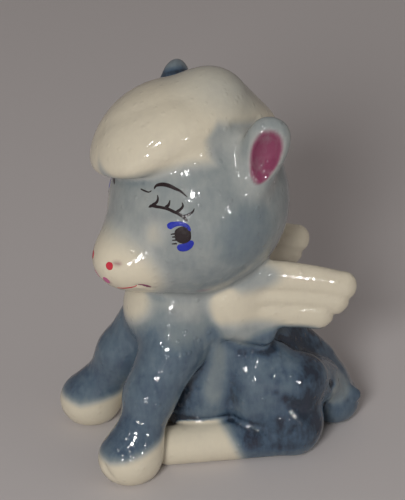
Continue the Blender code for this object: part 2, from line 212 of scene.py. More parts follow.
# Wings
FEATHER_LENGTHS = (13.4, 12.4, 10.0)
FEATHER_RADII = (2.4, 2.2, 2.4)
FEATHER_STEP = 2.65
FEATHER_LIFT = 0.5
FEATHER_TAPER = 0.86
FEATHER_FILLET = 1.9
WING_OUT = 6.0
WING_BEHIND = 7.6
WING_RISE = 6.2
WING_DROOP = 2.7
WING_ARCH = 0.5
WING_SPREAD = 1.4
WING_FLATNESS = 1.5
WING_ROOT_RADII = (1.9, 2.9, 3.5)
WING_ROOT_FILLET = 2.4
WING_ROOT_IN = 0.1
WING_ROOT_AHEAD = 2.0
WING_ROOT_DROP = 3.3
WING_FILLET = 1.6
WINGLET_OUT = 0.3
WINGLET_AHEAD = 1.4
WINGLET_BELOW = 7.2
WINGLET_SWEEP = 4.2
WINGLET_DROOP = 1.9
WINGLET_SPREAD = 0.6
WINGLET_RADIUS = 1.6
RIGHT_WING_AHEAD = 1.6

# Lines of the mould: depth, width, whether the right side has the same, and the points of the line.
# A depth below zero raises the line instead.
MOULD_LINES = (
    (0.16, 1.3, False, ((-1.8, 20.8, 47.6), (1.0, 18.4, 50.2), (2.0, 15.2, 51.8), (2.6, 11.6, 52.7))),
    (0.90, 0.40, True, ((5.1, -0.8, 17.0), (4.6, -2.0, 15.9), (4.3, -3.6, 14.7), (4.6, -4.8, 13.9))),
    (0.26, 0.95, True,
        ((10.0, -0.9, 9.9), (10.3, -2.0, 8.7), (10.6, -3.1, 7.6), (10.8, -4.2, 6.4), (10.7, -5.1, 5.2))),
    (0.30, 1.00, True, ((6.7, 6.8, 17.6), (6.8, 6.7, 15.0), (6.8, 6.6, 12.2), (6.7, 6.2, 9.2))),
    (0.22, 0.60, True, ((6.8, 8.5, 18.0), (6.1, 9.3, 14.6), (5.4, 10.1, 11.2))),
    (0.34, 0.40, False, ((7.4, -8.2, 9.6), (5.4, -8.9, 7.2), (4.3, -9.0, 5.0), (3.6, -9.4, 2.6))),
    (-0.22, 0.60, False, ((6.4, -9.4, 8.6), (5.2, -10.4, 6.8), (4.4, -11.2, 5.0))),
    (0.28, 0.50, True, ((5.9, 5.4, 49.6), (5.2, 4.0, 49.3), (4.5, 2.8, 48.9), (3.4, 1.4, 48.6))),
    (0.22, 0.35, True, ((10.2, 22.6, 6.4), (10.8, 22.0, 5.4), (11.3, 21.4, 4.6))),
    (0.30, 0.40, True, ((9.4, 24.4, 3.3), (10.2, 23.8, 2.0))),
    (0.18, 0.28, True, ((7.9, 19.2, 29.4), (8.1, 18.4, 29.3), (8.0, 17.8, 29.0), (7.7, 17.2, 28.6))),
    (-0.20, 1.30, True, ((9.1, 16.4, 37.6), (9.3, 16.2, 36.8))),
)
# Dents: depth, width and place
DENTS = (
    (0.16, 0.35, (8.3, 1.5, 14.5)), (0.18, 0.40, (9.0, 0.8, 13.2)), (0.15, 0.45, (9.4, -0.2, 12.5)),
    (0.16, 0.50, (9.1, -1.0, 13.4)), (0.14, 0.55, (9.4, 1.8, 10.9)), (0.14, 0.45, (9.7, 0.5, 10.9)),
    (0.14, 0.55, (9.1, 3.2, 10.5)), (0.15, 0.36, (8.8, 0.2, 13.9)), (0.40, 0.28, (4.9, 11.8, 10.2)),
    (0.20, 0.60, (11.0, -1.6, 5.6)), (0.18, 0.70, (10.6, 1.4, 4.0)), (0.16, 0.60, (9.6, 19.4, 9.6)),
    (0.22, 0.45, (-8.3, 1.0, 14.4)), (0.22, 0.50, (-9.0, 0.2, 12.9)), (0.20, 0.55, (-9.2, 2.0, 11.6)),
)
FEATHER_GROOVE = 0.27
GROOVE_WIDTH = 0.50
GROOVE_START = 2.5

# Clay mesh. The grid starts a broken number of cells under the table, so that no sample is on it
CELLS_UNDER_TABLE = 2.3
BOX_MARGIN = 3.0
BLOCK_COUNT = 4
BLOCK_REACH = 1.6
SETTLE_ROUNDS = 3
SETTLE_STEP = 0.3
SLOPE_STEP = 0.02
FLAT_BAND = 0.04

# Paint: how thick the blue wash lies, 0 for bare cream and 1 for the deepest blue. Painted shade is laid
# into the same wash where marked below
BODY_WASH = 0.77
HEAD_WASH = 0.43
WING_WASH = 0.02
# Darker wash in hollows and between parts: partly wash pooled there, partly painted shade. The depth is
# how far off the surface nearby clay is looked for; the head gets less of it
POOL_AND_SHADE_START = 0.1
POOL_AND_SHADE_SPAN = 0.4
POOL_AND_SHADE_DEPTH = 0.8
POOL_AND_SHADE_WASH = 0.62
HEAD_POOL_AND_SHADE = 0.25
RIM_DEPTH = 0.35
RIM_WASH = 0.35
# Each spray: wash, softness of the edge, whether the right side has the same, middle and radii
BODY_SPRAYS_AND_SHADE = (
    (0.78, 3.0, True, (8.5, 16.5, 17.0), (3.0, 3.0, 4.0)),
    (0.52, 3.0, True, (7.2, 12.4, 21.6), (3.6, 4.2, 2.6)),
    (0.34, 3.5, True, (6.6, 10.4, 25.6), (4.6, 6.0, 3.4)),
    (0.86, 3.0, False, (-8.4, 18.6, 13.4), (3.4, 3.4, 5.0)),
    (0.04, 4.2, False, (0.2, 18.6, 23.8), (5.4, 4.6, 3.8)),
    (0.52, 2.4, True, (6.4, 8.2, 13.6), (2.2, 2.4, 5.2)),
    (0.86, 1.8, True, (6.0, 10.5, 13.6), (0.9, 1.0, 4.4)),
    # Painted shade: the belly between the legs, washed nearly to the darkest blue
    (0.98, 2.2, False, (0.0, 11.5, 8.4), (5.6, 4.6, 3.6)),
    (0.84, 2.8, True, (7.2, 4.9, 12.0), (1.6, 1.5, 4.4)),
    (0.72, 3.0, True, (9.4, 1.6, 12.2), (2.8, 2.8, 2.8)),
    # Painted shade on the back of each haunch, beside the tail
    (0.96, 3.0, True, (9.6, -4.6, 10.6), (2.8, 2.6, 4.4)),
    (0.92, 2.8, True, (10.2, -1.0, 4.4), (4.0, 7.0, 3.0)),
    (0.96, 3.0, False, (1.8, -6.0, 13.5), (6.0, 4.4, 3.6)),
    (0.84, 2.2, True, (9.2, 22.0, 7.6), (3.6, 3.4, 3.0)),
)
TAIL_SPRAYS = (
    (0.84, 2.0, False, (3.0, -9.6, 6.0), (6.0, 5.0, 6.0)),
    (0.58, 1.3, False, (5.2, -10.2, 7.0), (1.9, 2.4, 2.8)),
)
WING_SPRAYS = (
    (0.36, 2.4, True, (8.0, 3.4, 27.8), (2.6, 3.8, 1.8)),
    (0.02, 1.2, True, (7.9, 7.2, 24.2), (2.0, 2.0, 3.0)),
    (0.40, 2.4, True, (7.6, 4.6, 19.0), (3.0, 6.0, 2.4)),
    (0.78, 1.6, True, (7.8, -1.2, 18.0), (2.6, 5.4, 1.8)),
)
# The same, in the head's own frame
HEAD_SPRAYS = (
    (0.40, 2.5, True, (3.5, 11.5, 1.5), (3.2, 3.5, 4.5)),
    (0.57, 3.5, True, (11.2, 0.6, -0.5), (3.4, 4.2, 4.4)),
    (0.46, 3.0, True, (9.2, 3.6, -7.4), (4.4, 4.0, 2.8)),
    (0.50, 3.0, True, (6.0, -9.5, 0.0), (6.5, 4.5, 7.0)),
    (0.20, 2.6, True, (5.4, 10.6, 0.4), (1.2, 2.4, 1.6)),
    (0.01, 3.6, False, (0.0, 13.6, -6.4), (7.2, 6.0, 5.6)),
)
MANE_WASH = 0.02
# Painted shade: the crown of the hair greyed over its top and back
MANE_CROWN_SHADE = (
    (0.22, 7.0, False, (0.0, -4.0, 16.0), (7.0, 7.0, 4.0)),
)
# The hair's edge, in the head's own frame: over the brow, beside the face and above the ears
HEM_HEIGHT = 6.5
HEM_START = 0.5
HEM_RISE = 0.5
HEM_REACH = 5.5
HEM_FRONT = 3.4
HEM_FRONT_SLOPE = 1.13
HEM_TOP = 12.0
PARTING_HEIGHT = 13.2
PARTING_SLOPE = 0.29
NAPE_START = 6.0
RIGHT_START = 3.0
HAIR_EDGE = 2.2
EAR_WASH = 0.42
# The right ear's darker wash, then a painted shadow: a dark band along its foot where it leaves the hair
EAR_WASH_AND_SHADOW = (
    (0.58, 2.0, False, (-10.0, -3.0, 13.0), (3.5, 3.5, 4.0)),
    (1.00, 0.9, False, (-8.6, -2.0, 13.3), (2.8, 3.4, 1.6)),
)
HOOF_CREAM_HEIGHT = 4.3
HOOF_CREAM_SLOPE = 0.27
HOOF_CREAM_FRONT = 24.0
HOOF_EDGE = 2.0
HOOF_AHEAD_SPAN = 1.5
HOOF_GAP = 0.6
FOOT_CREAM_START = 4.5
FOOT_CREAM_SLOPE = 0.45
FOOT_EDGE = 2.4
FOOT_SIDE = 0.5
ROSE_EDGE = 0.5
# Softness of the edge between the washes of two parts
TAIL_EDGE = 0.8
WING_EDGE = 1.6
EAR_EDGE = 1.2
HEAD_EDGE = 1.4
# Soft rose: strength, softness, middle and radii in the head's own frame
ROSE_SPRAYS = (
    (0.60, 0.6, (2.6, 14.9, -3.9), (0.6, 0.7, 0.3)),
    (0.50, 0.7, (1.1, 15.4, -7.1), (0.7, 0.8, 0.4)),
    (0.28, 0.5, (6.9, 4.4, -9.0), (0.9, 1.2, 0.5)),
)

# Brush marks on the face, mirrored to the right side: paint, then turn, rise and half width in mm
FACE_MARKS = {
    "lid": ("umber", ((20.0, 17.0, 0.12), (22.3, 18.7, 0.23), (25.6, 18.8, 0.21), (29.2, 19.0, 0.19),
        (33.4, 18.9, 0.21), (37.2, 17.9, 0.21), (40.9, 16.8, 0.20), (44.2, 15.1, 0.21),
        (47.2, 12.4, 0.12))),
    "lash_1": ("umber", ((22.3, 18.9, 0.24), (24.8, 21.0, 0.20), (25.6, 23.3, 0.16),
        (24.6, 25.9, 0.05))),
    "lash_2": ("umber", ((31.6, 19.0, 0.26), (33.7, 21.4, 0.19), (34.2, 24.5, 0.05))),
    "lash_3": ("umber", ((39.2, 17.4, 0.24), (42.0, 19.8, 0.18), (43.3, 21.9, 0.15),
        (42.5, 24.0, 0.05))),
    "lash_4": ("umber", ((44.2, 15.3, 0.22), (47.3, 16.9, 0.17), (49.8, 18.7, 0.13),
        (50.9, 20.9, 0.05))),
    "brow_tail": ("umber", ((10.1, 25.9, 0.08), (13.9, 25.8, 0.11), (17.4, 25.9, 0.09),
        (19.4, 27.3, 0.06))),
    "brow": ("umber", ((21.0, 28.5, 0.10), (21.8, 30.9, 0.17), (25.1, 32.4, 0.25), (28.9, 32.9, 0.27),
        (32.9, 32.6, 0.26), (36.9, 31.6, 0.21), (40.8, 30.5, 0.15), (46.0, 27.3, 0.06))),
    "iris_top": ("ultramarine", ((34.7, 7.4, 0.44), (36.9, 9.3, 0.44), (40.0, 10.5, 0.33),
        (43.8, 10.8, 0.30), (46.9, 9.3, 0.26), (48.7, 6.6, 0.14))),
    "iris_low": ("ultramarine", ((40.6, -4.4, 0.44), (44.3, -4.6, 0.58), (47.6, -2.9, 0.54),
        (50.1, 0.3, 0.32))),
    "pupil": ("umber", ((43.5, 9.2, 0.85), (43.9, 6.8, 1.08), (44.2, 1.6, 1.10), (44.4, -1.9, 0.90))),
    "tooth_1": ("umber", ((40.2, 4.4, 0.16), (36.7, 3.5, 0.07))),
    "tooth_2": ("umber", ((40.2, 2.2, 0.15), (37.6, 1.9, 0.08))),
    "tooth_3": ("umber", ((40.4, 0.2, 0.14), (37.7, -0.2, 0.07))),
    "tooth_4": ("umber", ((40.6, -2.1, 0.14), (37.4, -2.7, 0.06))),
    "nostril": ("rose_red", ((5.3, -15.8, 0.50), (6.9, -15.6, 0.56), (8.5, -15.4, 0.50))),
    "lip_mark": ("rose_pink", ((2.4, -22.4, 0.44), (4.0, -23.4, 0.60), (5.8, -24.4, 0.44))),
    "mouth": ("rose_red", ((7.3, -28.5, 0.07), (10.5, -28.7, 0.13), (14.2, -28.4, 0.12),
        (17.2, -28.2, 0.06))),
    "mouth_corner": ("plum", ((18.0, -27.4, 0.12), (20.3, -29.0, 0.24), (21.5, -31.0, 0.26),
        (22.4, -33.2, 0.12))),
}

# On the right the forelock hangs lower: the brow is under it, and the lashes are shorter
HIDDEN_RIGHT = ("brow_tail", "brow")
LASH_FOOT = 18.0
RIGHT_LASH_SHARE = 0.35

# The wash that each colour of the china stands for; cream stands for none
WASH_STOPS = (
    ("pale", 0.14), ("mist", 0.31), ("grey", 0.50), ("slate", 0.72), ("deep", 0.90), ("night", 1.0),
)
WASH_MOTTLE = 0.38
ROSE_MOTTLE = 0.9
ENAMEL_COVER = 0.8
ENAMEL_MOTTLE = 0.8
# A thinly brushed enamel is its colour times the first, plus the second
THIN_ENAMEL = (1.7, 0.01)
ENAMEL_ROUGHNESS = 0.16
GLAZE_ROUGHNESS = 0.08
GLAZE_IOR = 1.55
# Ripple of the glaze over bare cream; the wash adds its own thickness to it
CREAM_RIPPLE = 0.9

# Noise in the glaze and the washes: scales are in cells per metre, heights and shares are relative
GRAIN_SCALE = 1500.0
SWELL_SCALE = 420.0
SWELL_HEIGHT = 3.0
SPECK_SCALE = 620.0
SPECK_NARROWNESS = 4.5
SPECK_HEIGHT = 1.5
CLOUD_SCALE = 330.0
CLOUD_ROUGHNESS = 0.6
STREAK_SCALE = (1300.0, 1300.0, 420.0)
STREAK_SHARE = 0.6
MOTTLE_MIDDLE = 0.8
THICK_MOTTLE = 1.6
THIN_MOTTLE = 0.12

# Steps along a brush mark and sides round it, and how its ends narrow
MARK_STEPS = 28
MARK_SIDES = 12
END_POWER = 3.0
END_NARROWING = 0.98

# The table, in metres, lies a hair's breadth, in millimetres, under the figure
TABLE_HALF = 3.0
TABLE_ROUGHNESS = 0.8
TABLE_DROP = 0.02
# Lamps: turn and rise in degrees, then distance, width and height in metres
KEY_LAMP = (60, 27, 0.6, 0.16, 0.16)
FILL_LAMP = (140, 35, 0.8, 0.60, 0.60)
SPARK_DISTANCE = 0.5
SPARK_SIZE = (0.008, 0.036)
# Small lamps that only show as glints: turn, rise and share of the power
SPARKS = ((61, 31, 1.0), (58, 4, 0.3), (108, 8, 0.35), (30, 44, 0.3))

# Camera, from the foal's left and a little above
CAMERA_TURN = 73.0
CAMERA_RISE = 28.0
CAMERA_TARGET = (0.82, -2.15, 28.8)
CAMERA_DISTANCE = 350.0
VIEW_HEIGHT = 67.0
SENSOR_HEIGHT = 24.0
CLIP_START = 0.01


def vec(*values):
    return np.array(values, np.float32)


def mix(start, end, share):
    return start + (end - start) * share


def smooth(value):
    """A soft step from 0 to 1."""
    value = np.clip(value, 0, 1)
    return value * value * (3 - 2 * value)


def within(depth, edge):
    """From 0 outside to 1 inside, over an edge of this softness."""
    return smooth(0.5 + depth / edge)


MIRROR = vec(-1, 1, 1)

SHOULDER = vec(0, SHOULDER_FORWARD, SHOULDER_HEIGHT)
WAIST = vec(0, WAIST_FORWARD, WAIST_HEIGHT)
RUMP = vec(0, -RUMP_BACK, RUMP_HEIGHT)
NECK_TOP = SHOULDER + vec(0, -NECK_LEAN, NECK_LENGTH)
HEAD = NECK_TOP + vec(0, -HEAD_BACK, HEAD_RADIUS - HEAD_SINK)


def turned(yaw=0.0, pitch=0.0):
    """Axes as columns: left, forward and up. Yaw turns forward to the left, pitch lifts it."""
    cy, sy = math.cos(math.radians(yaw)), math.sin(math.radians(yaw))
    cp, sp = math.cos(math.radians(pitch)), math.sin(math.radians(pitch))
    level = np.array([[cy, sy, 0], [-sy, cy, 0], [0, 0, 1]])
    lifted = np.array([[1, 0, 0], [0, cp, -sp], [0, sp, cp]])
    return (level @ lifted).astype(np.float32)


def ball(points, centre, radii):
    """Distance to an ellipsoid."""
    offset = (points - vec(*centre)) / vec(*radii)
    near = np.maximum(np.linalg.norm(offset, axis=1), 1e-4)
    slope = np.linalg.norm(offset / vec(*radii), axis=1)
    return near * (near - 1) / np.maximum(slope, 1e-6)


def limb(points, start, end, start_radius, end_radius):
    """Distance to a tapered limb with round ends."""
    start, end = vec(*start), vec(*end)
    axis = end - start
    share = np.clip((points - start) @ axis / (axis @ axis), 0, 1)
    radius = mix(start_radius, end_radius, share)
    return np.linalg.norm(points - start - share[:, None] * axis, axis=1) - radius


def blend(first, second, fillet):
    """Two forms as one, with a fillet along their joint."""
    overlap = np.maximum(fillet - np.abs(first - second), 0) / fillet
    return np.minimum(first, second) - overlap**2 * fillet / 4


def carve(form, tool, fillet):
    """A form with the tool's shape taken away."""
    return -blend(-form, tool, fillet)


def in_head(points):
    """Points in the head's own frame."""
    return (points - HEAD) @ turned(HEAD_TURN)


def face(points):
    """The skull with its jaw and muzzle, in the head's own frame."""
    skull = ball(points, (0, FOREHEAD, 0), (HEAD_RADIUS, HEAD_RADIUS, HEAD_RADIUS))
    jaw = ball(points, (0, JAW_FORWARD, -JAW_DROP), JAW_RADII)
    forward = HEAD_RADIUS + MUZZLE_REACH - MUZZLE_RADII[1]
    muzzle = ball(points, (0, forward, -MUZZLE_DROP), MUZZLE_RADII)
    return blend(blend(skull, jaw, FACE_FILLET), muzzle, FACE_FILLET)


def in_ear(points, stand):
    """Points of the head's own frame, in the frame of its left ear, which narrows towards its foot."""
    rise, back = math.radians(EAR_RISE), math.radians(EAR_BACK)
    side = vec(math.cos(rise) * math.cos(back), -math.cos(rise) * math.sin(back), math.sin(rise))
    own = (points - side * (HEAD_RADIUS + stand)) @ turned(-EAR_FLARE, EAR_LEAN)
    own[:, 1] *= 1 - EAR_TAPER * own[:, 2] / EAR_RADII[2]
    return own


def ear_hollow(own):
    thick, wide, tall = EAR_RADII
    return ball(own, (thick, 0, EAR_HOLLOW_RISE), (EAR_DEPTH, wide - EAR_RIM, tall - EAR_TIP_RIM))


def ear(points, stand):
    """One ear, with its hollow, standing off the left side of the skull."""
    own = in_ear(points, stand)
    return carve(ball(own, (0, 0, 0), EAR_RADII), ear_hollow(own), EAR_RIM_FILLET)


def to_side(points):
    """From 0 at the middle of the hem to 1 beside it, where the hair melts into the skull."""
    return smooth((np.abs(points[:, 0] - FRINGE_MIDDLE) - FRINGE_WIDTH) / FRINGE_SIDE)


def mane(points):
    """Fringe and crown as one mass of hair, cut off at the hem over the brow."""
    radii = (HEAD_RADIUS, HEAD_RADIUS, HEAD_RADIUS * FRINGE_SQUASH)
    fringe = ball(points, FRINGE_OUT, radii)
    slant = math.radians(FRINGE_SLANT)
    hem = vec(-math.sin(slant), FRINGE_TILT, math.cos(slant))
    fillet = mix(FRINGE_FILLET, FRINGE_SIDE_FILLET, to_side(points))
    fringe = carve(fringe, (points - vec(0, 0, FRINGE_EDGE)) @ hem, fillet)
    top = (0, -CROWN_BACK, HEAD_RADIUS + CROWN_RISE - CROWN_RADIUS)
    crown = limb(points, top, (0, -NAPE_BACK, NAPE_RISE), CROWN_RADIUS, NAPE_RADIUS)
    return blend(fringe, crown, CROWN_FILLET)


def head(points):
    own = in_head(points)
    form = face(own)
    for side, stand in ((own, EAR_STAND), (own * MIRROR, RIGHT_EAR_STAND)):
        form = blend(form, ear(side, stand), EAR_FILLET)
    return blend(form, mane(own), mix(HAIRLINE_FILLET, HAIRLINE_SIDE_FILLET, to_side(own)))


def torso(points):
    back = limb(points, SHOULDER, WAIST, CHEST_RADIUS, WAIST_RADIUS)
    rump = limb(points, WAIST, RUMP, LOIN_RADIUS, RUMP_RADIUS)
    neck = limb(points, SHOULDER, NECK_TOP, NECK_RADIUS, NECK_RADIUS)
    middle = mix(WAIST, SHOULDER, BELLY_SHARE)
    belly_centre = (0, middle[1], BELLY_RADII[2] + BELLY_CLEARANCE)
    form = blend(blend(back, rump, TORSO_FILLET), neck, TORSO_FILLET)
    return blend(form, ball(points, belly_centre, BELLY_RADII), TORSO_FILLET)


def foreleg(points, step):
    """A foreleg on the left side, whose hoof stands one step out and forward of its top."""
    top = SHOULDER + vec(FORELEG_OUT, FORELEG_AHEAD, -FORELEG_BELOW)
    hoof_height = HOOF_RADII[2] - HOOF_CUT
    hoof = vec(top[0] + step[0], top[1] + step[1], hoof_height)
    knee = mix(top, hoof, KNEE_SHARE) + vec(0, KNEE_BEND, 0)
    pastern = mix(top, hoof, PASTERN_SHARE)
    form = limb(points, top, knee, FORELEG_TOP_RADIUS, KNEE_RADIUS)
    form = blend(form, limb(points, knee, pastern, KNEE_RADIUS, PASTERN_RADIUS), FORELEG_FILLET)
    return blend(form, ball(points, hoof, HOOF_RADII), HOOF_FILLET)


def hind_foot(points):
    heel = (HOCK_OUT + HEEL_OUT, -HOCK_BACK, FOOT_HEEL_RADIUS - SOLE_CUT)
    hoof_back = SHOULDER_FORWARD + FORELEG_AHEAD + HOOF_STEP[1] - HOOF_RADII[1]
    toe_forward = hoof_back + TOE_LAP - FOOT_TOE_RADIUS
    toe = (heel[0] - FOOT_INWARD, toe_forward, FOOT_TOE_RADIUS - SOLE_CUT)
    return limb(points, heel, toe, FOOT_HEEL_RADIUS, FOOT_TOE_RADIUS)


def hind_leg(points):
    """A folded hind leg on the left side: thigh, hock and the foot that lies along the table."""
    thigh_centre = (THIGH_OUT, THIGH_AHEAD, THIGH_RADII[2] + FOOT_TOE_RADIUS - SOLE_CUT)
    hock_centre = (HOCK_OUT, -HOCK_BACK, HOCK_RADII[2] - SOLE_CUT)
    hip = ball(points, (HIP_OUT, -HIP_BACK, HIP_HEIGHT), HIP_RADII)
    form = blend(ball(points, thigh_centre, THIGH_RADII), hip, HIND_FILLET)
    form = blend(form, ball(points, hock_centre, HOCK_RADII), HIND_FILLET)
    return blend(form, hind_foot(points), FOOT_FILLET)


def tail(points):
    """A tail that arches off the rump, sweeps past the left hip and ends in a tuft on the table."""
    root = RUMP + vec(-TAIL_SIDE, TAIL_AHEAD, TAIL_RISE)
    bend = RUMP + vec(-TAIL_SIDE / 2, -TAIL_ARCH, 0)
    tip = vec(TUFT_SIDE, bend[1] - TUFT_BACK, TUFT_TIP_RADIUS - SOLE_CUT)
    top = vec(TUFT_SIDE, bend[1] - TUFT_TOP_BACK, bend[2] - TUFT_DROP)
    dock = limb(points, root, bend, TAIL_RADIUS, TAIL_WAIST_RADIUS)
    sweep = limb(points, (SWEEP_OUT, -SWEEP_BACK, SWEEP_HEIGHT), top, SWEEP_RADIUS, TUFT_TOP_RADIUS)
    tuft = limb(points, top, tip, TUFT_TOP_RADIUS, TUFT_TIP_RADIUS)
    side = TUFT_TOP_RADIUS - LOCK_RADIUS + LOCK_STAND
    lock_top = top + side * vec(*LOCK_TOP_WAY)
    lock_end = mix(top, tip, LOCK_SHARE) + side * vec(*LOCK_END_WAY)
    lock = limb(points, lock_top, lock_end, LOCK_RADIUS, LOCK_RADIUS)
    return blend(blend(dock, sweep, SWEEP_FILLET), blend(tuft, lock, LOCK_STAND), TAIL_FILLET)


def wing(points):
    """The left wing: feathers one under another, with a rounded root and a winglet below it."""
    flat = vec(WING_FLATNESS, 1, 1)
    root = SHOULDER + vec(WING_OUT, -WING_BEHIND, WING_RISE)
    along = np.clip((root[1] - points[:, 1]) / FEATHER_LENGTHS[0], 0, 1)
    points = points - (4 * WING_ARCH * along * (1 - along))[:, None] * vec(0, 0, 1)
    form = None
    for row, (length, radius) in enumerate(zip(FEATHER_LENGTHS, FEATHER_RADII)):
        start = root - vec(0, 0, row * FEATHER_STEP)
        end = start + vec(WING_SPREAD, -length, row * FEATHER_LIFT - WING_DROOP)
        feather = limb(points * flat, start * flat, end * flat, radius, radius * FEATHER_TAPER)
        feather = feather / math.sqrt(WING_FLATNESS)
        if form is None:
            form = feather
            continue
        edge = np.exp(-(((form - feather) / GROOVE_WIDTH) ** 2))
        fade = smooth((start[1] - points[:, 1]) / GROOVE_START)
        form = blend(form, feather, FEATHER_FILLET) + FEATHER_GROOVE * edge * fade
    middle = root + vec(-WING_ROOT_IN, WING_ROOT_AHEAD, -WING_ROOT_DROP)
    form = blend(form, ball(points, middle, WING_ROOT_RADII), WING_ROOT_FILLET)
    lowest = root + vec(WINGLET_OUT, WINGLET_AHEAD, -WINGLET_BELOW)
    end = lowest + vec(WINGLET_SPREAD, -WINGLET_SWEEP, -WINGLET_DROOP)
    winglet = limb(points, lowest, end, WINGLET_RADIUS, WINGLET_RADIUS * FEATHER_TAPER)
    return blend(form, winglet, WING_FILLET)


def right_wing(points):
    return wing((points - vec(0, RIGHT_WING_AHEAD, 0)) * MIRROR)


def hollow_line(points, depth, width, path):
    """How deep a soft line along a path is cut into the clay, at each point."""
    reach = 3 * width
    path = np.array(path, np.float32)
    near = ((points > path.min(axis=0) - reach) & (points < path.max(axis=0) + reach)).all(axis=1)
    cut = np.zeros(len(points), np.float32)
    if near.any():
        away = np.full(int(near.sum()), np.inf, np.float32)
        for start, end in zip(path[:-1], path[1:]):
            away = np.minimum(away, limb(points[near], start, end, 0, 0))
        cut[near] = depth * np.exp(-((away / width) ** 2))
    return cut


def foal(points):
    """The whole figure, standing on the table plane."""
    form = torso(points)
    form = blend(form, foreleg(points, HOOF_STEP), FORELEG_FILLET)
    form = blend(form, foreleg(points * MIRROR, RIGHT_HOOF_STEP), FORELEG_FILLET)
    for side in (points, points * MIRROR):
        form = blend(form, hind_leg(side), HAUNCH_FILLET)
    form = blend(form, tail(points), SWEEP_FILLET)
    form = blend(form, wing(points), WING_FILLET)
    form = blend(form, right_wing(points), WING_FILLET)
    form = blend(head(points), form, HAIRLINE_FILLET)
    for depth, width, both, path in MOULD_LINES:
        form = form + hollow_line(points, depth, width, path)
        if both:
            form = form + hollow_line(points, depth, width, np.array(path) * MIRROR)
    for depth, width, place in DENTS:
        form = form + hollow_line(points, depth, width, (place, vec(*place) + width))
    return carve(form, points[:, 2], SOLE_FILLET)


def clay_box(cell):
    """Lowest and highest corners of a box that holds the figure."""
    wide = HEAD_RADIUS + RIGHT_EAR_STAND + BOX_MARGIN
    front = SHOULDER[1] + HOOF_RADII[1] + RIGHT_HOOF_STEP[1] + FORELEG_AHEAD
    front = max(front, HEAD[1] + HEAD_RADIUS + MUZZLE_REACH)
    rear = RUMP_BACK + TAIL_ARCH + TUFT_BACK + TUFT_TIP_RADIUS
    rear = max(rear, max(FEATHER_LENGTHS) + WING_BEHIND - SHOULDER_FORWARD + max(FEATHER_RADII))
    high = HEAD[2] + HEAD_RADIUS + CROWN_RISE + EAR_RADII[2]
    low = vec(-wide, -rear - BOX_MARGIN, -CELLS_UNDER_TABLE * cell)
    return low, vec(wide, front + BOX_MARGIN, high)


def sampled(field, low, high, cell):
    """The field on a grid, worked out finely only in the blocks that its surface may cross."""
    size = cell * BLOCK_COUNT
    counts = np.ceil((high - low) / size).astype(int)
    blocks = np.stack(np.meshgrid(*[np.arange(n) for n in counts], indexing="ij"), -1).reshape(-1, 3)
    middles = low + (blocks + 0.5 - 0.5 / BLOCK_COUNT) * size
    rough = field(middles.astype(np.float32))
    near = np.abs(rough) < size * BLOCK_REACH
    values = np.sign(rough).astype(np.float32)[:, None] * np.full(BLOCK_COUNT**3, size, np.float32)
    inner = np.stack(np.meshgrid(*[np.arange(BLOCK_COUNT)] * 3, indexing="ij"), -1).reshape(-1, 3)
    points = low + (blocks[near][:, None, :] * BLOCK_COUNT + inner[None]) * cell
    values[near] = field(points.reshape(-1, 3).astype(np.float32)).reshape(-1, BLOCK_COUNT**3)
    shape = (*counts, BLOCK_COUNT, BLOCK_COUNT, BLOCK_COUNT)
    return values.reshape(shape).transpose(0, 3, 1, 4, 2, 5).reshape(counts * BLOCK_COUNT)


def sheets_of(case):
    """For one pattern of clay corners in a cell, the sheet of surface that each cell edge belongs to.

    Clay corners join along cell edges, and empty corners join across faces as well, so that two
    walls that meet in one cell keep a point each.
    """
    corners = [(i, j, k) for i in (0, 1) for j in (0, 1) for k in (0, 1)]
    filled = [bool(case >> number & 1) for number in range(8)]
    group = list(range(8))
    for first in range(8):
        for second in range(first):
            steps = sum(abs(a - b) for a, b in zip(corners[first], corners[second]))
            if filled[first] != filled[second] or steps > (1 if filled[first] else 2):
                continue
            old, new = group[first], group[second]
            group = [new if number == old else number for number in group]
    pairs = []
    sheets = np.zeros(12, np.int64)
    for axis in range(3):
        for number, (i, j) in enumerate(((0, 0), (0, 1), (1, 0), (1, 1))):
            low = [0, 0, 0]
            low[(axis + 1) % 3], low[(axis + 2) % 3] = i, j
            high = list(low)
            high[axis] = 1
            ends = corners.index(tuple(low)), corners.index(tuple(high))
            if filled[ends[0]] == filled[ends[1]]:
                continue
            pair = sorted(ends, key=lambda corner: filled[corner])
            pair = tuple(group[corner] for corner in pair)
            if pair not in pairs:
                pairs.append(pair)
            sheets[axis * 4 + number] = pairs.index(pair)
    return sheets


